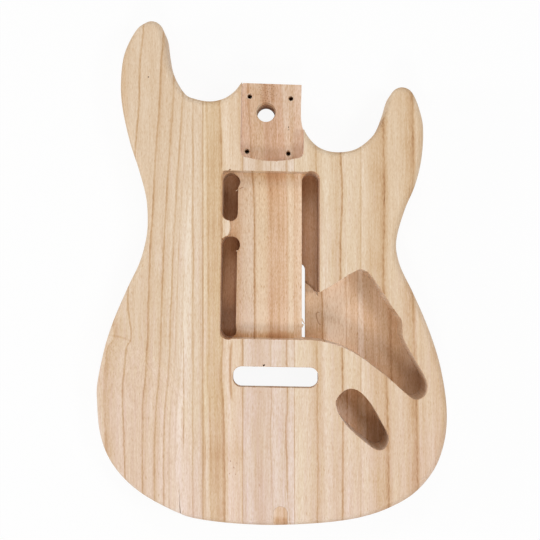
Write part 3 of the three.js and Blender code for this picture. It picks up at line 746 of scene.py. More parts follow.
for name, piece in pieces.items():
    piece.name = name + "_wood"
    crumbs = without_crumbs(piece)
    piece.data.shade_smooth()
    piece.data.set_sharp_from_angle(angle=math.radians(SHARP_ANGLE))
    even = piece.modifiers.new("even shading", "WEIGHTED_NORMAL")
    even.keep_sharp = True
    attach(piece, "root")
    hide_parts(name)
    print(name, len(piece.data.polygons), "faces", round(volume_of(piece), 2), "cm3,", crumbs, "crumbs removed")

# %% [markdown]
# ## Paulownia
# Paulownia grows fast, so its annual rings are wide, and a flat-sawn board shows them as lines that run with
# the grain. Each ring starts with large pores, which make its dark edge, and fades to pale late wood. The
# pattern is a solid one: it is worked out from the place in the board, so it runs on over the rounded edge,
# through the contours and down into the cavities as real grain does. A ring's place across the board is
# x minus its drift along the body, plus its lean with depth, plus a little wobble.

# %% Colours, and one helper for nodes
def linear(code, tint=(1.0, 1.0, 1.0)):
    """An sRGB hex colour as linear red, green and blue, times a tint, with an alpha of 1."""
    parts = np.array([int(code[i:i + 2], 16) for i in (1, 3, 5)]) / 255
    light = np.where(parts <= 0.04045, parts / 12.92, ((parts + 0.055) / 1.055) ** 2.4)
    return (*(light * tint).tolist(), 1.0)


def add(tree, kind, inputs=None, stops=None, points=None, **settings):
    """Add one node with its settings, the stops of its ramp or the points of its curve, and its values and
    links. Gives the node's outputs. A socket is given by its name, or by its number where a name comes twice
    or is long: 0, 1 and 2 are the terms of a Math or VectorMath node, a MapRange takes its value in 0, what
    it goes from in 1 and 2 and what it goes to in 3 and 4, and a Mix takes its share in 0, two numbers in 2
    and 3, or two colours in 6 and 7. A MixShader takes its share in 0 and two surfaces in 1 and 2."""
    node = tree.nodes.new(kind)
    for name, value in settings.items():
        setattr(node, name, value)
    for index, (position, colour) in enumerate(stops or []):
        ramp = node.color_ramp.elements
        if index == 0:
            ramp.remove(ramp[1])
        stop = ramp.new(position) if index else ramp[0]
        stop.position, stop.color = position, colour
    for index, (along, value) in enumerate(points or []):
        node.mapping.use_clip = False
        curve = node.mapping.curves[0].points
        if index < 2:
            curve[index].location = along, value
        else:
            curve.new(along, value)
        node.mapping.update()
    for socket, value in (inputs or {}).items():
        if isinstance(value, bpy.types.NodeSocket):
            tree.links.new(value, node.inputs[socket])
        else:
            node.inputs[socket].default_value = value
    return node.outputs


# Wood from its darkest pores to its palest late wood, against lightness from 0 to 1
WOOD_RANGE = [(0.0, "#8A6242"), (0.31, "#B48862"), (0.54, "#CAA482"), (0.67, "#D6B698"), (0.79, "#E1C7B0"),
              (0.89, "#E9D3C1"), (1.0, "#F1DFD1")]
print("pale wood in linear light:", [round(part, 3) for part in linear(WOOD_RANGE[5][1])])

# %% [markdown]
# ## Growth rings of the five boards and the patch
# Each table gives the rings of one board: a place across the body in millimetres, and how light the wood is
# there. A sharp fall is the edge where one year's growth ends and the next year's pores begin. The drift is
# how far the lines wander sideways, in millimetres, at places along the body. The lean is how far they move
# with depth, because the board wasn't sawn exactly along a radius.
#
# The span is where the board's two glue lines are, and the seam is how dark they look. The tint is the board's
# colour beside the others', and tints are slow changes of colour across it. Under "deep" stand the values
# that count inside the cavities instead, because the wood there was never sanded and lies in the shade. The
# bass wing has more: near its rim it follows edge_drift, its table stops at ring_end, and past the first
# number of its fault the rings run straight along the body, moved by the second.
#
# Lines are single marks. Each gives its kind, its middle in x and y, half its run, its bow, half its width,
# and how dark it is, where a number below zero makes it paler. A "ring" follows the rings, a "place" stays
# where it is, and both run along the body. An "across" runs from side to side. Inside the cavities most of
# the across lines and the marks of the jack cavity are painted shade, chiefly shadows at the foot of a wall,
# and beside one such shadow lies a paler band, which is painted light. On the front, one across line is
# painted shade along the crease of the forearm contour.

# %% Ring tables
# The bass wing's drift is the same for its rim and its middle from here up to the neck
BASS_DRIFT = [(20, 1.4), (58, 3.9), (85, 5.3), (124, 7.8), (161, 10.4), (188, 11.3), (210, 13.6), (229, 14.5)]
NO_LEAN = [(0, 0.0), (45, 0.0)]
# Painted shade in the jack cavity: darker under its wall on the neck side and towards its treble and tail sides.
# The cavity lies across the glue line of two boards, so both boards get these marks
JACK_PAINTED_SHADE = [
    ("place", 86.0, -118.0, 24.0, 8.0, 11.0, 0.24), ("place", 97.0, -148.0, 24.0, 0.0, 12.0, 0.10),
    ("across", 78.0, -112.0, 20.0, 0.0, 12.0, 0.36), ("place", 83.0, -154.0, 20.0, 0.0, 10.0, 0.20),
]

BOARDS = {
    "bass_wing": {
        "span": (-160.0, BASS_JOINT), "tint": (1.0, 1.0, 1.0), "seam": 0.45,
        "rings": [(-150.9, 0.80), (-148, 0.75), (-147, 0.50), (-143, 0.65), (-136.5, 0.75),
                  (-131, 0.80), (-129.5, 0.37), (-128.5, 0.75), (-112, 0.75), (-111, 0.32),
                  (-109.5, 0.65), (-104, 0.80), (-100, 0.75), (-98.5, 0.39), (-97.5, 0.70),
                  (-91.5, 0.85), (-90, 0.45), (-89, 0.75), (-86, 0.85), (-85, 0.65), (-84, 0.80),
                  (-81.5, 0.85), (-79.5, 0.80), (-78.5, 1.00), (-76, 1.00), (-70, 0.86), (-58, 0.80),
                  (-57, 0.50), (-56, 0.80), (-53, 0.84), (-50.5, 0.76), (-48.5, 0.65)],
        "ring_end": -47.0, "fault": (-72.0, 13.56),
        "drift": [(-228, -6.5), (-205, -6.7), (-164, -7.0), (-148, -6.6), (-124, -5.6), (-113, -4.8),
                  (-100, -3.3), (-85, -2.3), (-60, -1.1), (-24, 0.0)] + BASS_DRIFT,
        "edge_drift": [(-228, -0.9), (-190, -2.4), (-168, -3.4), (-142, -4.1), (-114, -5.2), (-94, -4.1),
                       (-82, -2.9), (-70, -1.5), (-63, 1.6), (-56, 5.2), (-47, 3.4), (-36, 1.2),
                       (-24, 0.1)] + BASS_DRIFT,
        "lean": [(0, 0.0), (12, 1.0), (45, 3.0)],
        "lines": [("place", -78.9, -106.0, 66.0, -0.6, 0.55, 0.34), ("place", -80.0, -138.0, 20.0, 0.0, 1.3, 0.16),
                  # The across line is painted shade along the crease where the forearm contour meets the flat
                  # front
                  ("across", -150.0, -56.0, 26.0, -6.6, 0.9, 0.16)],
    },
    "bass_inner": {
        "span": (BASS_JOINT, centre_bass), "tint": (1.03, 1.04, 1.00), "seam": 0.5,
        "tints": [(-61.4, (1.0, 1.0, 1.0)), (-46.0, (1.0, 1.0, 1.0)), (-40.0, (1.02, 1.01, 1.05)),
                  (-25.7, (1.01, 1.0, 1.05))],
        "rings": [(-61.4, 0.65), (-60.5, 0.85), (-58, 0.75), (-56.5, 0.50), (-54.5, 0.65),
                  (-50.5, 0.55), (-47, 0.60), (-45.5, 0.50), (-44, 0.25), (-43, 0.70), (-39, 0.85),
                  (-37, 0.80), (-33.5, 0.75), (-29, 0.75), (-25.7, 0.55)],
        "drift": [(-230, 2.3), (-178, 2.0), (-131, 1.6), (-106, 0.5), (-85, -0.5), (-70, 0.2), (-24, 0.0),
                  (66, -0.4), (120, -0.8), (154, -2.3), (231, -2.7)],
        "lean": [(0, 0.0), (17, -1.2), (45, -2.6)],
        "lines": [("place", -36.8, -88.0, 29.0, 1.6, 1.1, 0.5), ("across", -45.0, -163.0, 40.0, 0.0, 12.0, 0.10)],
        "deep": {
            "tint": (1.02, 0.995, 1.02), "seam": 0.0, "lean": NO_LEAN, "tints": [],
            # Painted shadow at the foot of the pad's tail wall, a painted paler band on its neck side, and painted
            # shade round the head end of the lower bass channel
            "lines": [("across", -25.0, -59.0, 60.0, 0.0, 4.5, 0.52),
                      ("across", 0.0, -44.0, 60.0, 0.0, 12.0, -0.12),
                      ("across", -38.0, 27.0, 9.0, 0.0, 11.0, 0.30)],
            "rings": [(-61.4, 0.70), (-50.0, 0.60), (-44.0, 0.48), (-39.0, 0.56), (-33.0, 0.50), (-30.0, 0.60),
                      (-27.0, 0.72), (-25.3, 0.76)],
        },
    },
    "centre": {
        "span": (centre_bass, centre_treble), "tint": (0.99, 0.995, 1.05), "seam": 0.35,
        "rings": [(-25, 0.75), (-24, 0.80), (-20.5, 0.85), (-18, 0.80), (-13, 0.65), (-10, 0.65),
                  (-6, 0.75), (-1, 0.75), (0, 0.55), (1, 0.85), (4.5, 0.90), (8, 0.85), (13, 0.75),
                  (14, 0.35), (15.5, 0.80), (17.5, 0.90), (20.5, 0.85), (21.3, 0.75)],
        "drift": [(-230, 3.1), (-222, 2.7), (-190, 0.8), (-165, 0.4), (-143, -0.4), (-125, 0.7), (-100, 1.0),
                  (-82, 0.1), (-65, 0.0), (105, 0.0), (231, 0.9)],
        "lean": [(0, 0.0), (17, -1.8), (45, -3.6)],
        "lines": [("ring", 14.0, -222.0, 28.0, 0.0, 1.2, -0.30)],
        "deep": {
            "tint": (1.0, 0.97, 0.945), "seam": 0.0, "lean": NO_LEAN,
            "rings": [(-25.3, 0.82), (-22.0, 0.92), (-18.1, 0.88), (-17.0, 0.22), (-15.8, 0.70), (-14.2, 0.92),
                      (-9.0, 0.88), (-5.5, 0.80), (-3.0, 0.62), (-1.5, 0.42), (0.5, 0.58), (3.5, 0.64),
                      (5.5, 0.48), (7.5, 0.68), (10.0, 0.58), (12.0, 0.74), (13.5, 0.58), (15.8, 0.92),
                      (17.6, 0.90), (19.2, 0.80), (21.3, 0.66)],
            "tints": [(-25.3, (1.0, 1.0, 1.02)), (-16.4, (1.0, 1.0, 1.02)), (-15.0, (1.01, 1.0, 0.96)),
                      (-6.0, (1.01, 1.0, 0.96)), (-3.0, (1.02, 0.985, 1.01)), (13.0, (1.02, 0.985, 1.01)),
                      (15.0, (1.0, 1.01, 1.02)), (21.3, (1.0, 1.01, 1.02))],
            "drift": [(-230, 1.6), (50, 1.6), (70, 1.3), (88, 0.2), (107, -0.9), (127, -1.8), (168, -4.1),
                      (231, -5.5)],
            "lines": [("place", -20.2, 41.2, 4.8, 0.0, 0.45, 0.40),
                      # The across lines at -59 and 90.5 are painted shadow at the foot of the pad's tail and neck
                      # walls, and the one at -44 is a painted paler band beside the first
                      ("across", 0.0, -59.0, 60.0, 0.0, 4.5, 0.52),
                      ("across", 0.0, -44.0, 60.0, 0.0, 12.0, -0.12),
                      ("across", 0.0, 20.0, 60.0, 0.0, 60.0, -0.05),
                      ("across", -20.0, 140.0, 30.0, 0.0, 40.0, 0.08),
                      ("across", 0.0, 90.5, 60.0, 0.0, 5.0, 0.22),
                      ("place", -6.0, 164.0, 15.0, 0.0, 3.0, 0.20),
                      ("place", 1.5, 168.0, 12.0, 0.0, 2.4, 0.20)],
        },
    },
    "treble_inner": {
        "span": (centre_treble, TREBLE_JOINT), "tint": (1.0, 1.0, 0.97), "seam": 0.3,
        "rings": [(22.2, 0.90), (24.5, 0.85), (32.5, 0.85), (36, 0.75), (40, 0.65), (41, 0.35),
                  (42, 0.65), (45, 0.70), (48.5, 0.90), (51.5, 0.85), (56, 0.75), (59, 0.70),
                  (62.5, 0.70), (64, 0.25), (65, 0.75), (68.5, 0.85), (75, 0.80), (79.5, 0.75),
                  (80.9, 0.70)],
        "drift": [(-230, 0.7), (-171, 1.1), (-142, 1.1), (-70, 0.4), (-24, 0.0), (8, -1.3), (75, 0.2),
                  (106, -0.9), (231, -0.9)],
        "lean": [(0, 0.0), (20, -1.6), (45, -3.0)],
        "lines": [],
        "deep": {
            "tint": (1.04, 1.02, 1.04), "seam": 0.2, "lean": NO_LEAN,
            "rings": [(21.3, 0.66), (24.0, 0.68), (27.0, 0.86), (32.0, 0.62), (38.0, 0.72), (46.0, 0.72),
                      (47.6, 0.66), (48.6, 0.28), (49.6, 0.80), (52.0, 0.96), (58.0, 0.98), (69.6, 0.94),
                      (71.2, 0.60), (72.4, 0.94), (74.6, 0.88), (75.6, 0.72), (79.5, 0.76), (81.4, 0.78)],
            # Besides the jack cavity's painted shade: painted shade at the head end of the treble channel and a
            # painted shadow at the tail end of the bay
            "lines": JACK_PAINTED_SHADE + [("across", 36.0, 86.0, 9.0, 0.0, 13.0, 0.32),
                                   ("across", 38.0, -58.0, 16.0, 0.0, 8.0, 0.26)],
        },
    },
    "treble_wing": {
        "span": (TREBLE_JOINT, 160.0), "tint": (1.0, 0.995, 0.97), "seam": 0.3,
        "rings": [(82.3, 0.85), (86, 0.75), (89.5, 0.70), (90.5, 0.65), (97, 0.60), (99.5, 0.55),
                  (101, 0.35), (102, 0.10), (103, 0.50), (106, 0.75), (114, 0.75), (118.5, 0.70),
                  (122, 0.60), (126.5, 0.45), (128, 0.20), (129, 0.50), (131, 0.75), (134.5, 0.70),
                  (138.5, 0.75), (142, 0.75), (144.5, 0.65), (152.8, 0.60)],
        "drift": [(-230, 4.9), (-209, 4.5), (-169, 4.2), (-97, 2.5), (-24, 0.5), (9, 0.1), (57, 0.7),
                  (133, 0.0), (231, 0.0)],
        "lean": [(0, 0.0), (20, 1.2), (45, 2.2)],
        "lines": [],
        "deep": {
            "tint": (1.0, 1.02, 1.09), "seam": 0.2, "lean": NO_LEAN,
            "rings": [(81.4, 0.78), (83.0, 0.88), (85.6, 0.83), (87.2, 0.48), (89.0, 0.62), (92.0, 0.57),
                      (94.0, 0.46), (97.0, 0.66), (99.6, 0.48), (102.0, 0.60), (106.0, 0.56), (109.0, 0.42),
                      (111.4, 0.16), (113.4, 0.44), (118.0, 0.46), (127.0, 0.58), (137.0, 0.56), (146.0, 0.56)],
            "lines": JACK_PAINTED_SHADE,
        },
    },
    "patch": {
        "span": (-60.0, 60.0), "tint": (1.02, 0.97, 0.92), "seam": 0.0,
        "rings": [(2, 0.90), (4, 0.90), (4.5, 0.70), (6.5, 0.65), (8, 0.80), (11, 0.70), (12, 0.45),
                  (13, 0.65), (15.2, 0.60)],
        "drift": [(-230, 0.0), (231, 0.0)],
        "lean": [(0, 0.0), (45, 2.0)],
        "lines": [("place", 8.6, -231.5, 12.0, 0.0, 12.0, 0.30)],
    },
}
for name, board in BOARDS.items():
    print(name, len(board["rings"]), "ring places")

# %% [markdown]
# ## Grain
# The fibres and vessels run along the body, so every fine pattern is stretched that way: about 1 mm across
# and 30 mm along for the streaks, and half a millimetre across for the pores. On end grain the same solid
# pattern shows as dots, and the cut ends soak up light and look darker.

# %% The solid pattern of a board
# The drift tables are read from this far below the body's middle to this far above it
RUN = 240.0
# The bass wing's edge_drift hands over to its drift between these two places
RIM_BAND = (-136.0, -109.0)
SLOW_WOBBLE, QUICK_WOBBLE = 1.6, 1.1
MEAN_LIGHT = 0.78
# Each noise by its size across, along and down in millimetres, and by its detail
NOISES = {
    "slow": ((30, 60, 30), 1.0), "quick": ((4, 5, 4), 1.0), "contrast": ((18, 32, 18), 1.0),
    "streak": ((0.9, 28, 0.9), 3.0), "band": ((2.6, 90, 2.6), 2.0), "fleck": ((0.8, 2.8, 0.8), 2.0),
    "cell": ((0.7, 5, 0.7), 1.0), "pore": ((0.6, 5, 0.6), 1.0), "hue": ((2.0, 50, 2.0), 2.0),
}
STREAKS, BANDS, FLECKS, CELLS, PORES = 0.42, 0.28, 0.40, 0.30, 0.20
END_GRAIN = 0.22


def shares_of_run(table):
    """Places along the body as shares of the run, each with its value."""
    return [((at + RUN) / (2 * RUN), value) for at, value in table]


def grain(tree, board, rough, faint):
    """Lightness of the wood at each point: the ring table read at x - drift(y) + lean(depth) + wobble, its
    contrast changing slowly along the board and quickly from cell to cell, plus streaks, flecks and pores
    that grow with the roughness of the cut, less the marks, the glue line and the darker end grain. Gives
    the lightness, the noises, the place in millimetres, the share along the body, the surface's direction
    and the place across the rings."""
    out = add(tree, "ShaderNodeTexCoord")
    spot = add(tree, "ShaderNodeVectorMath", {0: out["Object"], "Scale": 1 / MM}, operation="SCALE")[0]
    x, y, z = add(tree, "ShaderNodeSeparateXYZ", {0: spot}).values()
    facing = add(tree, "ShaderNodeSeparateXYZ", {0: out["Normal"]})
    along = add(tree, "ShaderNodeMapRange", {0: y, 1: -RUN, 2: RUN})[0]
    depth = add(tree, "ShaderNodeMapRange", {0: z, 1: FRONT, 2: 0.0})[0]

    noises = {}
    for key, (size, detail) in NOISES.items():
        finer = add(tree, "ShaderNodeVectorMath", {0: spot, 1: [1 / part for part in size]},
                    operation="MULTIPLY")[0]
        noises[key] = add(tree, "ShaderNodeTexNoise", {"Vector": finer, "Scale": 1.0, "Detail": detail})[0]

    drift = add(tree, "ShaderNodeFloatCurve", {"Value": along}, points=shares_of_run(board["drift"]))[0]
    if "edge_drift" in board:
        outer_drift = add(tree, "ShaderNodeFloatCurve", {"Value": along},
                          points=shares_of_run(board["edge_drift"]))[0]
        side = add(tree, "ShaderNodeMapRange", {0: x, 1: RIM_BAND[0], 2: RIM_BAND[1]})[0]
        drift = add(tree, "ShaderNodeMix", {0: side, 2: outer_drift, 3: drift})[0]
    lean = add(tree, "ShaderNodeFloatCurve", {"Value": depth},
               points=[(at / FRONT, value) for at, value in board["lean"]])[0]
    wobble = add(tree, "ShaderNodeMath", {0: noises["slow"], 1: SLOW_WOBBLE, 2: -SLOW_WOBBLE / 2},
                 operation="MULTIPLY_ADD")[0]
    wobble = add(tree, "ShaderNodeMath", {0: noises["quick"], 1: QUICK_WOBBLE, 2: wobble},
                 operation="MULTIPLY_ADD")[0]
    wobble = add(tree, "ShaderNodeMath", {0: wobble, 1: QUICK_WOBBLE / 2}, operation="SUBTRACT")[0]
    ring = add(tree, "ShaderNodeMath", {0: x, 1: drift}, operation="SUBTRACT")[0]
    ring = add(tree, "ShaderNodeMath", {0: ring, 1: lean}, operation="ADD")[0]
    ring = add(tree, "ShaderNodeMath", {0: ring, 1: wobble}, operation="ADD")[0]
    straight = ring
    if "fault" in board:
        limit, offset = board["fault"]
        beyond = add(tree, "ShaderNodeMath", {0: x, 1: limit}, operation="GREATER_THAN")[0]
        other = add(tree, "ShaderNodeMath", {0: x, 1: offset}, operation="ADD")[0]
        other = add(tree, "ShaderNodeMath", {0: other, 1: wobble}, operation="ADD")[0]
        straight = add(tree, "ShaderNodeMix", {0: beyond, 2: ring, 3: other})[0]

    first, last = board["rings"][0][0], board.get("ring_end", board["rings"][-1][0])
    position = add(tree, "ShaderNodeMapRange", {0: straight, 1: first, 2: last})[0]
    table = [((at - first) / (last - first), (light, light, light, 1.0)) for at, light in board["rings"]]
    light = add(tree, "ShaderNodeValToRGB", {0: position}, stops=table)[0]
    light = add(tree, "ShaderNodeMath", {0: light, 1: MEAN_LIGHT}, operation="SUBTRACT")[0]
    contrast = add(tree, "ShaderNodeMapRange",
                   {0: noises["contrast"], 1: 0.3, 2: 0.7, 3: 0.75 * faint, 4: 1.35 * faint})[0]
    broken = add(tree, "ShaderNodeMapRange", {0: noises["cell"], 1: 0.3, 2: 0.7, 3: 0.5, 4: 1.5})[0]
    contrast = add(tree, "ShaderNodeMath", {0: contrast, 1: broken}, operation="MULTIPLY")[0]
    light = add(tree, "ShaderNodeMath", {0: light, 1: contrast, 2: MEAN_LIGHT}, operation="MULTIPLY_ADD")[0]

    for key, amount in (("streak", STREAKS), ("band", BANDS), ("fleck", FLECKS * rough), ("cell", CELLS * rough)):
        change = add(tree, "ShaderNodeMath", {0: noises[key], 1: 0.5}, operation="SUBTRACT")[0]
        light = add(tree, "ShaderNodeMath", {0: change, 1: amount, 2: light}, operation="MULTIPLY_ADD")[0]
    pore = add(tree, "ShaderNodeMapRange", {0: noises["pore"], 1: 0.62, 2: 0.72, 3: 0.0, 4: PORES * rough})[0]
    light = add(tree, "ShaderNodeMath", {0: light, 1: pore}, operation="SUBTRACT")[0]

    # Some marks are lines in the wood's own tone; in the cavities many are painted shadow at the foot of a wall
    for kind, middle_x, middle_y, reach, bow, half, strength in board["lines"]:
        run, cross, middle, line_middle = y, x, middle_y, middle_x
        if kind == "across":
            run, cross, middle, line_middle = x, y, middle_x, middle_y
        far = add(tree, "ShaderNodeMath", {0: run, 1: middle}, operation="SUBTRACT")[0]
        far = add(tree, "ShaderNodeMath", {0: far, 1: reach}, operation="DIVIDE")[0]
        square = add(tree, "ShaderNodeMath", {0: far, 1: far}, operation="MULTIPLY")[0]
        line = add(tree, "ShaderNodeMath", {0: square, 1: bow, 2: line_middle}, operation="MULTIPLY_ADD")[0]
        gap = add(tree, "ShaderNodeMath", {0: ring if kind == "ring" else cross, 1: line},
                  operation="SUBTRACT")[0]
        gap = add(tree, "ShaderNodeMath", {0: gap}, operation="ABSOLUTE")[0]
        near = add(tree, "ShaderNodeMapRange", {0: gap, 1: half * 1.5, 2: half * 0.3})[0]
        within = add(tree, "ShaderNodeMapRange", {0: square, 1: 1.0, 2: 0.5, 4: strength})[0]
        mark = add(tree, "ShaderNodeMath", {0: near, 1: within}, operation="MULTIPLY")[0]
        if rough > 1 or kind == "across":
            upwards = add(tree, "ShaderNodeMapRange", {0: facing["Z"]})[0]
            mark = add(tree, "ShaderNodeMath", {0: mark, 1: upwards}, operation="MULTIPLY")[0]
        light = add(tree, "ShaderNodeMath", {0: light, 1: mark}, operation="SUBTRACT")[0]

    edges = []
    for edge in board["span"]:
        gap = add(tree, "ShaderNodeMath", {0: x, 1: edge}, operation="SUBTRACT")[0]
        edges.append(add(tree, "ShaderNodeMath", {0: gap}, operation="ABSOLUTE")[0])
    gap = add(tree, "ShaderNodeMath", {0: edges[0], 1: edges[1]}, operation="MINIMUM")[0]
    glue = add(tree, "ShaderNodeMapRange", {0: gap, 1: 0.55, 2: 0.15, 4: board["seam"]})[0]
    light = add(tree, "ShaderNodeMath", {0: light, 1: glue}, operation="SUBTRACT")[0]
    end = add(tree, "ShaderNodeMath", {0: facing["Y"]}, operation="ABSOLUTE")[0]
    end = add(tree, "ShaderNodeMapRange", {0: end, 1: 0.55, 2: 0.95, 4: END_GRAIN / rough ** 2})[0]
    light = add(tree, "ShaderNodeMath", {0: light, 1: end}, operation="SUBTRACT")[0]
    return light, noises, spot, along, facing, straight


# %% [markdown]
# ## Sanded and routed wood
# The outside was sanded by hand: matt, with the pores open and the fibres catching a little light. The
# cavities are as the router left them: rougher, a little darker, with chatter lines down the walls. The neck
# pocket was milled with a finer cut, and its rings are faint. The jack cavity's finish is a little darker and
# browner, which is painted shade. The finish of the narrow channels, the holes, the grooves and many pits is
# much darker, which is painted shade too. A finish has a shift, which lightens the wood or darkens it where
# it is below zero, and a number by which its walls are lighter still, which is painted light. It also says
# how torn and how rough it is, how much of the bump shows, how faint its rings are, and its tint.

# %% A material for each board and finish
CHATTER = (0.7, 0.7, 0.03)
BLOTCH = (45, 70, 45)
FIBRE_RISE = 0.0001
WOOD_IOR, WOOD_SHEEN = 1.45, 0.3
WALL_TINT = (1.0, 1.07, 1.15, 1.0)
WHITE = (1.0, 1.0, 1.0, 1.0)
TAIL_HUE, NECK_HUE = (1.0, 0.98, 1.05, 1.0), (1.0, 1.01, 0.94, 1.0)

# A finish's wall number is painted light: it makes cavity walls lighter than the floors, as if they caught more
# light
FINISHES = {
    "sanded": {"shift": 0.0, "wall": 0.0, "torn": 1.0, "rough": 0.62, "bump": 0.25, "tint": (1.0, 1.0, 1.0)},
    "routed": {"shift": 0.02, "wall": 0.06, "torn": 1.6, "rough": 0.78, "bump": 0.5,
               "tint": (1.0, 0.96, 0.91)},
    "milled": {"shift": -0.02, "wall": 0.06, "torn": 1.6, "rough": 0.78, "bump": 0.5, "faint": 0.5,
               "tint": (1.0, 0.96, 0.99)},
    # Painted shade in the deep jack cavity: a little darker and browner than the routed wood
    "jack_shade": {"shift": -0.05, "wall": 0.04, "torn": 1.6, "rough": 0.78, "bump": 0.5,
                "tint": (0.97, 0.94, 0.89)},
    # Painted shade in the narrow channels, the holes, the grooves and many pits: much darker and redder than the
    # routed wood
    "hollow_shade": {"shift": -0.10, "wall": 0.08, "torn": 1.6, "rough": 0.80, "bump": 0.5,
                 "tint": (0.84, 0.73, 0.67)},
}


def wood(board_name, finish_name):
    """Lightness picks a colour from the wood's range, which the tints of the board and the finish multiply.
    In a cavity the walls get chatter lines, a stretched noise, and a tint of their own. A slow change of hue,
    yellower towards the neck, is multiplied in, and streaks and pores stand out of the surface by hundredths
    of a millimetre."""
    finish = FINISHES[finish_name]
    board = dict(BOARDS[board_name])
    if finish_name != "sanded":
        board.update(board.get("deep", {}))
    material = bpy.data.materials.new(f"paulownia_{finish_name}_{board_name}")
    material.use_nodes = True
    tree = material.node_tree
    shader = tree.nodes["Principled BSDF"]
    light, noises, spot, along, facing, ring = grain(tree, board, finish["torn"], finish.get("faint", 1.0))
    if finish_name != "sanded":
        upright = add(tree, "ShaderNodeMath", {0: facing["Z"]}, operation="ABSOLUTE")[0]
        wall = add(tree, "ShaderNodeMapRange", {0: upright, 1: 0.7, 2: 0.3})[0]
        finer = add(tree, "ShaderNodeVectorMath", {0: spot, 1: CHATTER}, operation="MULTIPLY")[0]
        chatter = add(tree, "ShaderNodeTexNoise", {"Vector": finer, "Scale": 1.0, "Detail": 1.0})[0]
        # The chatter lines vary round the finish's wall number, which is painted light on the walls
        chatter = add(tree, "ShaderNodeMath", {0: chatter, 1: 0.5, 2: finish["wall"] - 0.25},
                      operation="MULTIPLY_ADD")[0]
        light = add(tree, "ShaderNodeMath", {0: chatter, 1: wall, 2: light}, operation="MULTIPLY_ADD")[0]
        wall_tint = add(tree, "ShaderNodeMix", {0: wall, 6: WHITE, 7: WALL_TINT}, data_type="RGBA")[2]
    picked = add(tree, "ShaderNodeMapRange", {0: light, 1: -0.5 - finish["shift"], 2: 1.1 - finish["shift"]})[0]
    tint = np.multiply(board["tint"], finish["tint"])
    colour = add(tree, "ShaderNodeValToRGB", {0: picked},
                 stops=[(at, linear(code, tint)) for at, code in WOOD_RANGE])[0]
    tints = []
    if board.get("tints"):
        first, last = board["tints"][0][0], board["tints"][-1][0]
        share = add(tree, "ShaderNodeMapRange", {0: ring, 1: first, 2: last})[0]
        tints.append(add(tree, "ShaderNodeValToRGB", {0: share},
                         stops=[((at - first) / (last - first), (*tint, 1.0)) for at, tint in board["tints"]])[0])
    if finish_name != "sanded":
        tints.append(wall_tint)
    for tint in tints:
        colour = add(tree, "ShaderNodeMix", {0: 1.0, 6: colour, 7: tint}, data_type="RGBA",
                     blend_type="MULTIPLY")[2]
    finer = add(tree, "ShaderNodeVectorMath", {0: spot, 1: [1 / part for part in BLOTCH]},
                operation="MULTIPLY")[0]
    blotch = add(tree, "ShaderNodeTexNoise", {"Vector": finer, "Scale": 1.0, "Detail": 2.0})[0]
    warmth = add(tree, "ShaderNodeMath", {0: blotch, 1: 0.9, 2: along}, operation="MULTIPLY_ADD")[0]
    warmth = add(tree, "ShaderNodeMath", {0: noises["hue"], 1: 1.2 / finish["torn"], 2: warmth},
                 operation="MULTIPLY_ADD")[0]
    warmth = add(tree, "ShaderNodeMath", {0: warmth, 1: 0.6 / finish["torn"]}, operation="SUBTRACT")[0]
    hue = add(tree, "ShaderNodeValToRGB", {0: warmth}, stops=[(0.1, TAIL_HUE), (1.0, NECK_HUE)])[0]
    colour = add(tree, "ShaderNodeMix", {0: 1.0, 6: colour, 7: hue}, data_type="RGBA", blend_type="MULTIPLY")[2]
    rise = add(tree, "ShaderNodeMath", {0: noises["streak"], 1: noises["pore"]}, operation="SUBTRACT")[0]
    bump = add(tree, "ShaderNodeBump", {"Strength": finish["bump"], "Distance": FIBRE_RISE, "Height": rise})[0]
    tree.links.new(colour, shader.inputs["Base Color"])
    tree.links.new(bump, shader.inputs["Normal"])
    shader.inputs["Roughness"].default_value = finish["rough"]
    shader.inputs["IOR"].default_value = WOOD_IOR
    shader.inputs["Specular IOR Level"].default_value = WOOD_SHEEN
    return material


# Painted shade in the smallest pits of torn end grain, too deep for light to reach: one dark brown, matt
pit_shade_wood = bpy.data.materials.new("pit_shade")
pit_shade_wood.use_nodes = True
pit_shade_shader = pit_shade_wood.node_tree.nodes["Principled BSDF"]
pit_shade_shader.inputs["Base Color"].default_value = linear("#4A3020")
pit_shade_shader.inputs["Roughness"].default_value = 0.85

board_of = {
    "stave_bass_wing": "bass_wing", "stave_bass_inner": "bass_inner", "stave_centre_neck": "centre",
    "stave_centre_tail": "centre", "stave_treble_inner": "treble_inner", "stave_treble_wing": "treble_wing",
    "tail_patch": "patch",
}
finished = {name: [wood(name, finish) for finish in FINISHES] + [pit_shade_wood] for name in BOARDS}
for name, piece in pieces.items():
    for index, material in enumerate(finished[board_of[name]]):
        piece.data.materials[index] = material
print(len(BOARDS) * len(FINISHES), "wood finishes")

# %% [markdown]
# ## Light and floor
# The photograph was lit softly from all round, with the ground burned out to white. Four square panels of
# 350 to 450 mm and an even sky do the same here at a plain level. The sky and the floor are white for rays
# from the camera and for glossy and transmitted ones. The floor also keeps part of the shadow, is dark under
# the four screw holes, as the photograph shows them, and is clear from below, so that the back can be looked
# at too.

# %% Studio
PANELS = {
    "tail": ((0, -923, 1182), 350, 5.3),
    "neck": ((0, 944, 1166), 450, 3.7),
    "treble": ((795, 0, 1272), 350, 4.3),
    "bass": ((-1391, 0, 562), 450, 6.0),
}
SKY = 0.4
WHITE_RAYS = ("Is Glossy Ray", "Is Transmission Ray")

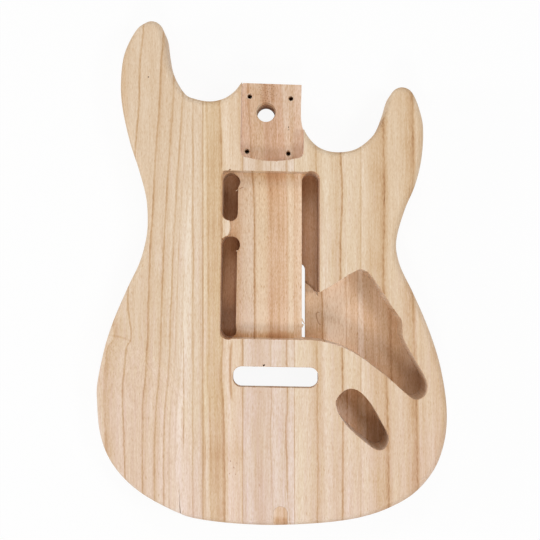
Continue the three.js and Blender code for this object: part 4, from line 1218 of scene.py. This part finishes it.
world = bpy.data.worlds.new("studio")
bpy.context.scene.world = world
world.use_nodes = True
world.node_tree.nodes["Background"].inputs["Strength"].default_value = SKY
world.node_tree.nodes["Background"].inputs["Color"].default_value = WHITE
path = add(world.node_tree, "ShaderNodeLightPath")
seen = path["Is Camera Ray"]
for other_ray in WHITE_RAYS:
    seen = add(world.node_tree, "ShaderNodeMath", {0: seen, 1: path[other_ray]}, operation="MAXIMUM")[0]
level = add(world.node_tree, "ShaderNodeMapRange", {0: seen, 3: SKY, 4: 1.0})[0]
world.node_tree.links.new(level, world.node_tree.nodes["Background"].inputs["Strength"])
for name, (spot, size, power) in PANELS.items():
    panel = bpy.data.lights.new("panel_" + name, "AREA")
    panel.size = size * MM
    panel.energy = power
    lamp = bpy.data.objects.new("panel_" + name, panel)
    lamp.location = [part * MM for part in spot]
    aim = -lamp.location
    lamp.rotation_euler = aim.to_track_quat("-Z", "Y").to_euler()
    bpy.context.scene.collection.objects.link(lamp)
bpy.context.scene.view_settings.view_transform = "Standard"
print(len(PANELS), "panels")

# %% The floor and its paper
FLOOR_HALF, FLOOR_DROP = 3000.0, 0.2
PAPER_GLOW = 0.92
# The ground is dark within this distance of each screw hole's axis
DARK_DISC = 5.0
# A ray that starts this close to the floor passes through it, because the back face lies just above it
CLEAR_UNDER = 2.0

grid = np.linspace(-FLOOR_HALF, FLOOR_HALF, 3)
gx, gy = np.meshgrid(grid, grid)
floor_points = np.column_stack([gx.ravel(), gy.ravel(), np.full(gx.size, -FLOOR_DROP)]) * MM
corner = np.array([0, 1, 3, 4])
floor_faces = np.column_stack([corner, corner + 1, corner + 4, corner + 3])
floor_mesh = bpy.data.meshes.new("floor")
floor_mesh.from_pydata(floor_points.tolist(), [], floor_faces.tolist())
floor = bpy.data.objects.new("floor", floor_mesh)
bpy.context.scene.collection.objects.link(floor)

paper = bpy.data.materials.new("white_paper")
paper.use_nodes = True
tree = paper.node_tree
tree.nodes.clear()
path = add(tree, "ShaderNodeLightPath")
matt = add(tree, "ShaderNodeBsdfDiffuse", {"Color": linear("#F2F2F2")})[0]
glow = add(tree, "ShaderNodeEmission", {"Strength": 1.0})[0]
seen = path["Is Camera Ray"]
for other_ray in WHITE_RAYS:
    seen = add(tree, "ShaderNodeMath", {0: seen, 1: path[other_ray]}, operation="MAXIMUM")[0]
seen = add(tree, "ShaderNodeMath", {0: seen, 1: PAPER_GLOW}, operation="MULTIPLY")[0]
place_here = add(tree, "ShaderNodeTexCoord")["Object"]
for spot in screws:
    away = add(tree, "ShaderNodeVectorMath", {0: place_here, 1: (spot[0] * MM, spot[1] * MM, -FLOOR_DROP * MM)},
               operation="DISTANCE")["Value"]
    away = add(tree, "ShaderNodeMath", {0: away, 1: DARK_DISC * MM}, operation="GREATER_THAN")[0]
    seen = add(tree, "ShaderNodeMath", {0: seen, 1: away}, operation="MULTIPLY")[0]
surface = add(tree, "ShaderNodeMixShader", {0: seen, 1: matt, 2: glow})[0]
below = add(tree, "ShaderNodeNewGeometry")["Backfacing"]
close = add(tree, "ShaderNodeMath", {0: path["Ray Length"], 1: CLEAR_UNDER * MM}, operation="LESS_THAN")[0]
clear = add(tree, "ShaderNodeMath", {0: below, 1: close}, operation="MAXIMUM")[0]
nothing = add(tree, "ShaderNodeBsdfTransparent")[0]
surface = add(tree, "ShaderNodeMixShader", {0: clear, 1: surface, 2: nothing})[0]
add(tree, "ShaderNodeOutputMaterial", {"Surface": surface})
floor_mesh.materials.append(paper)
print("floor", 2 * FLOOR_HALF, "mm wide")
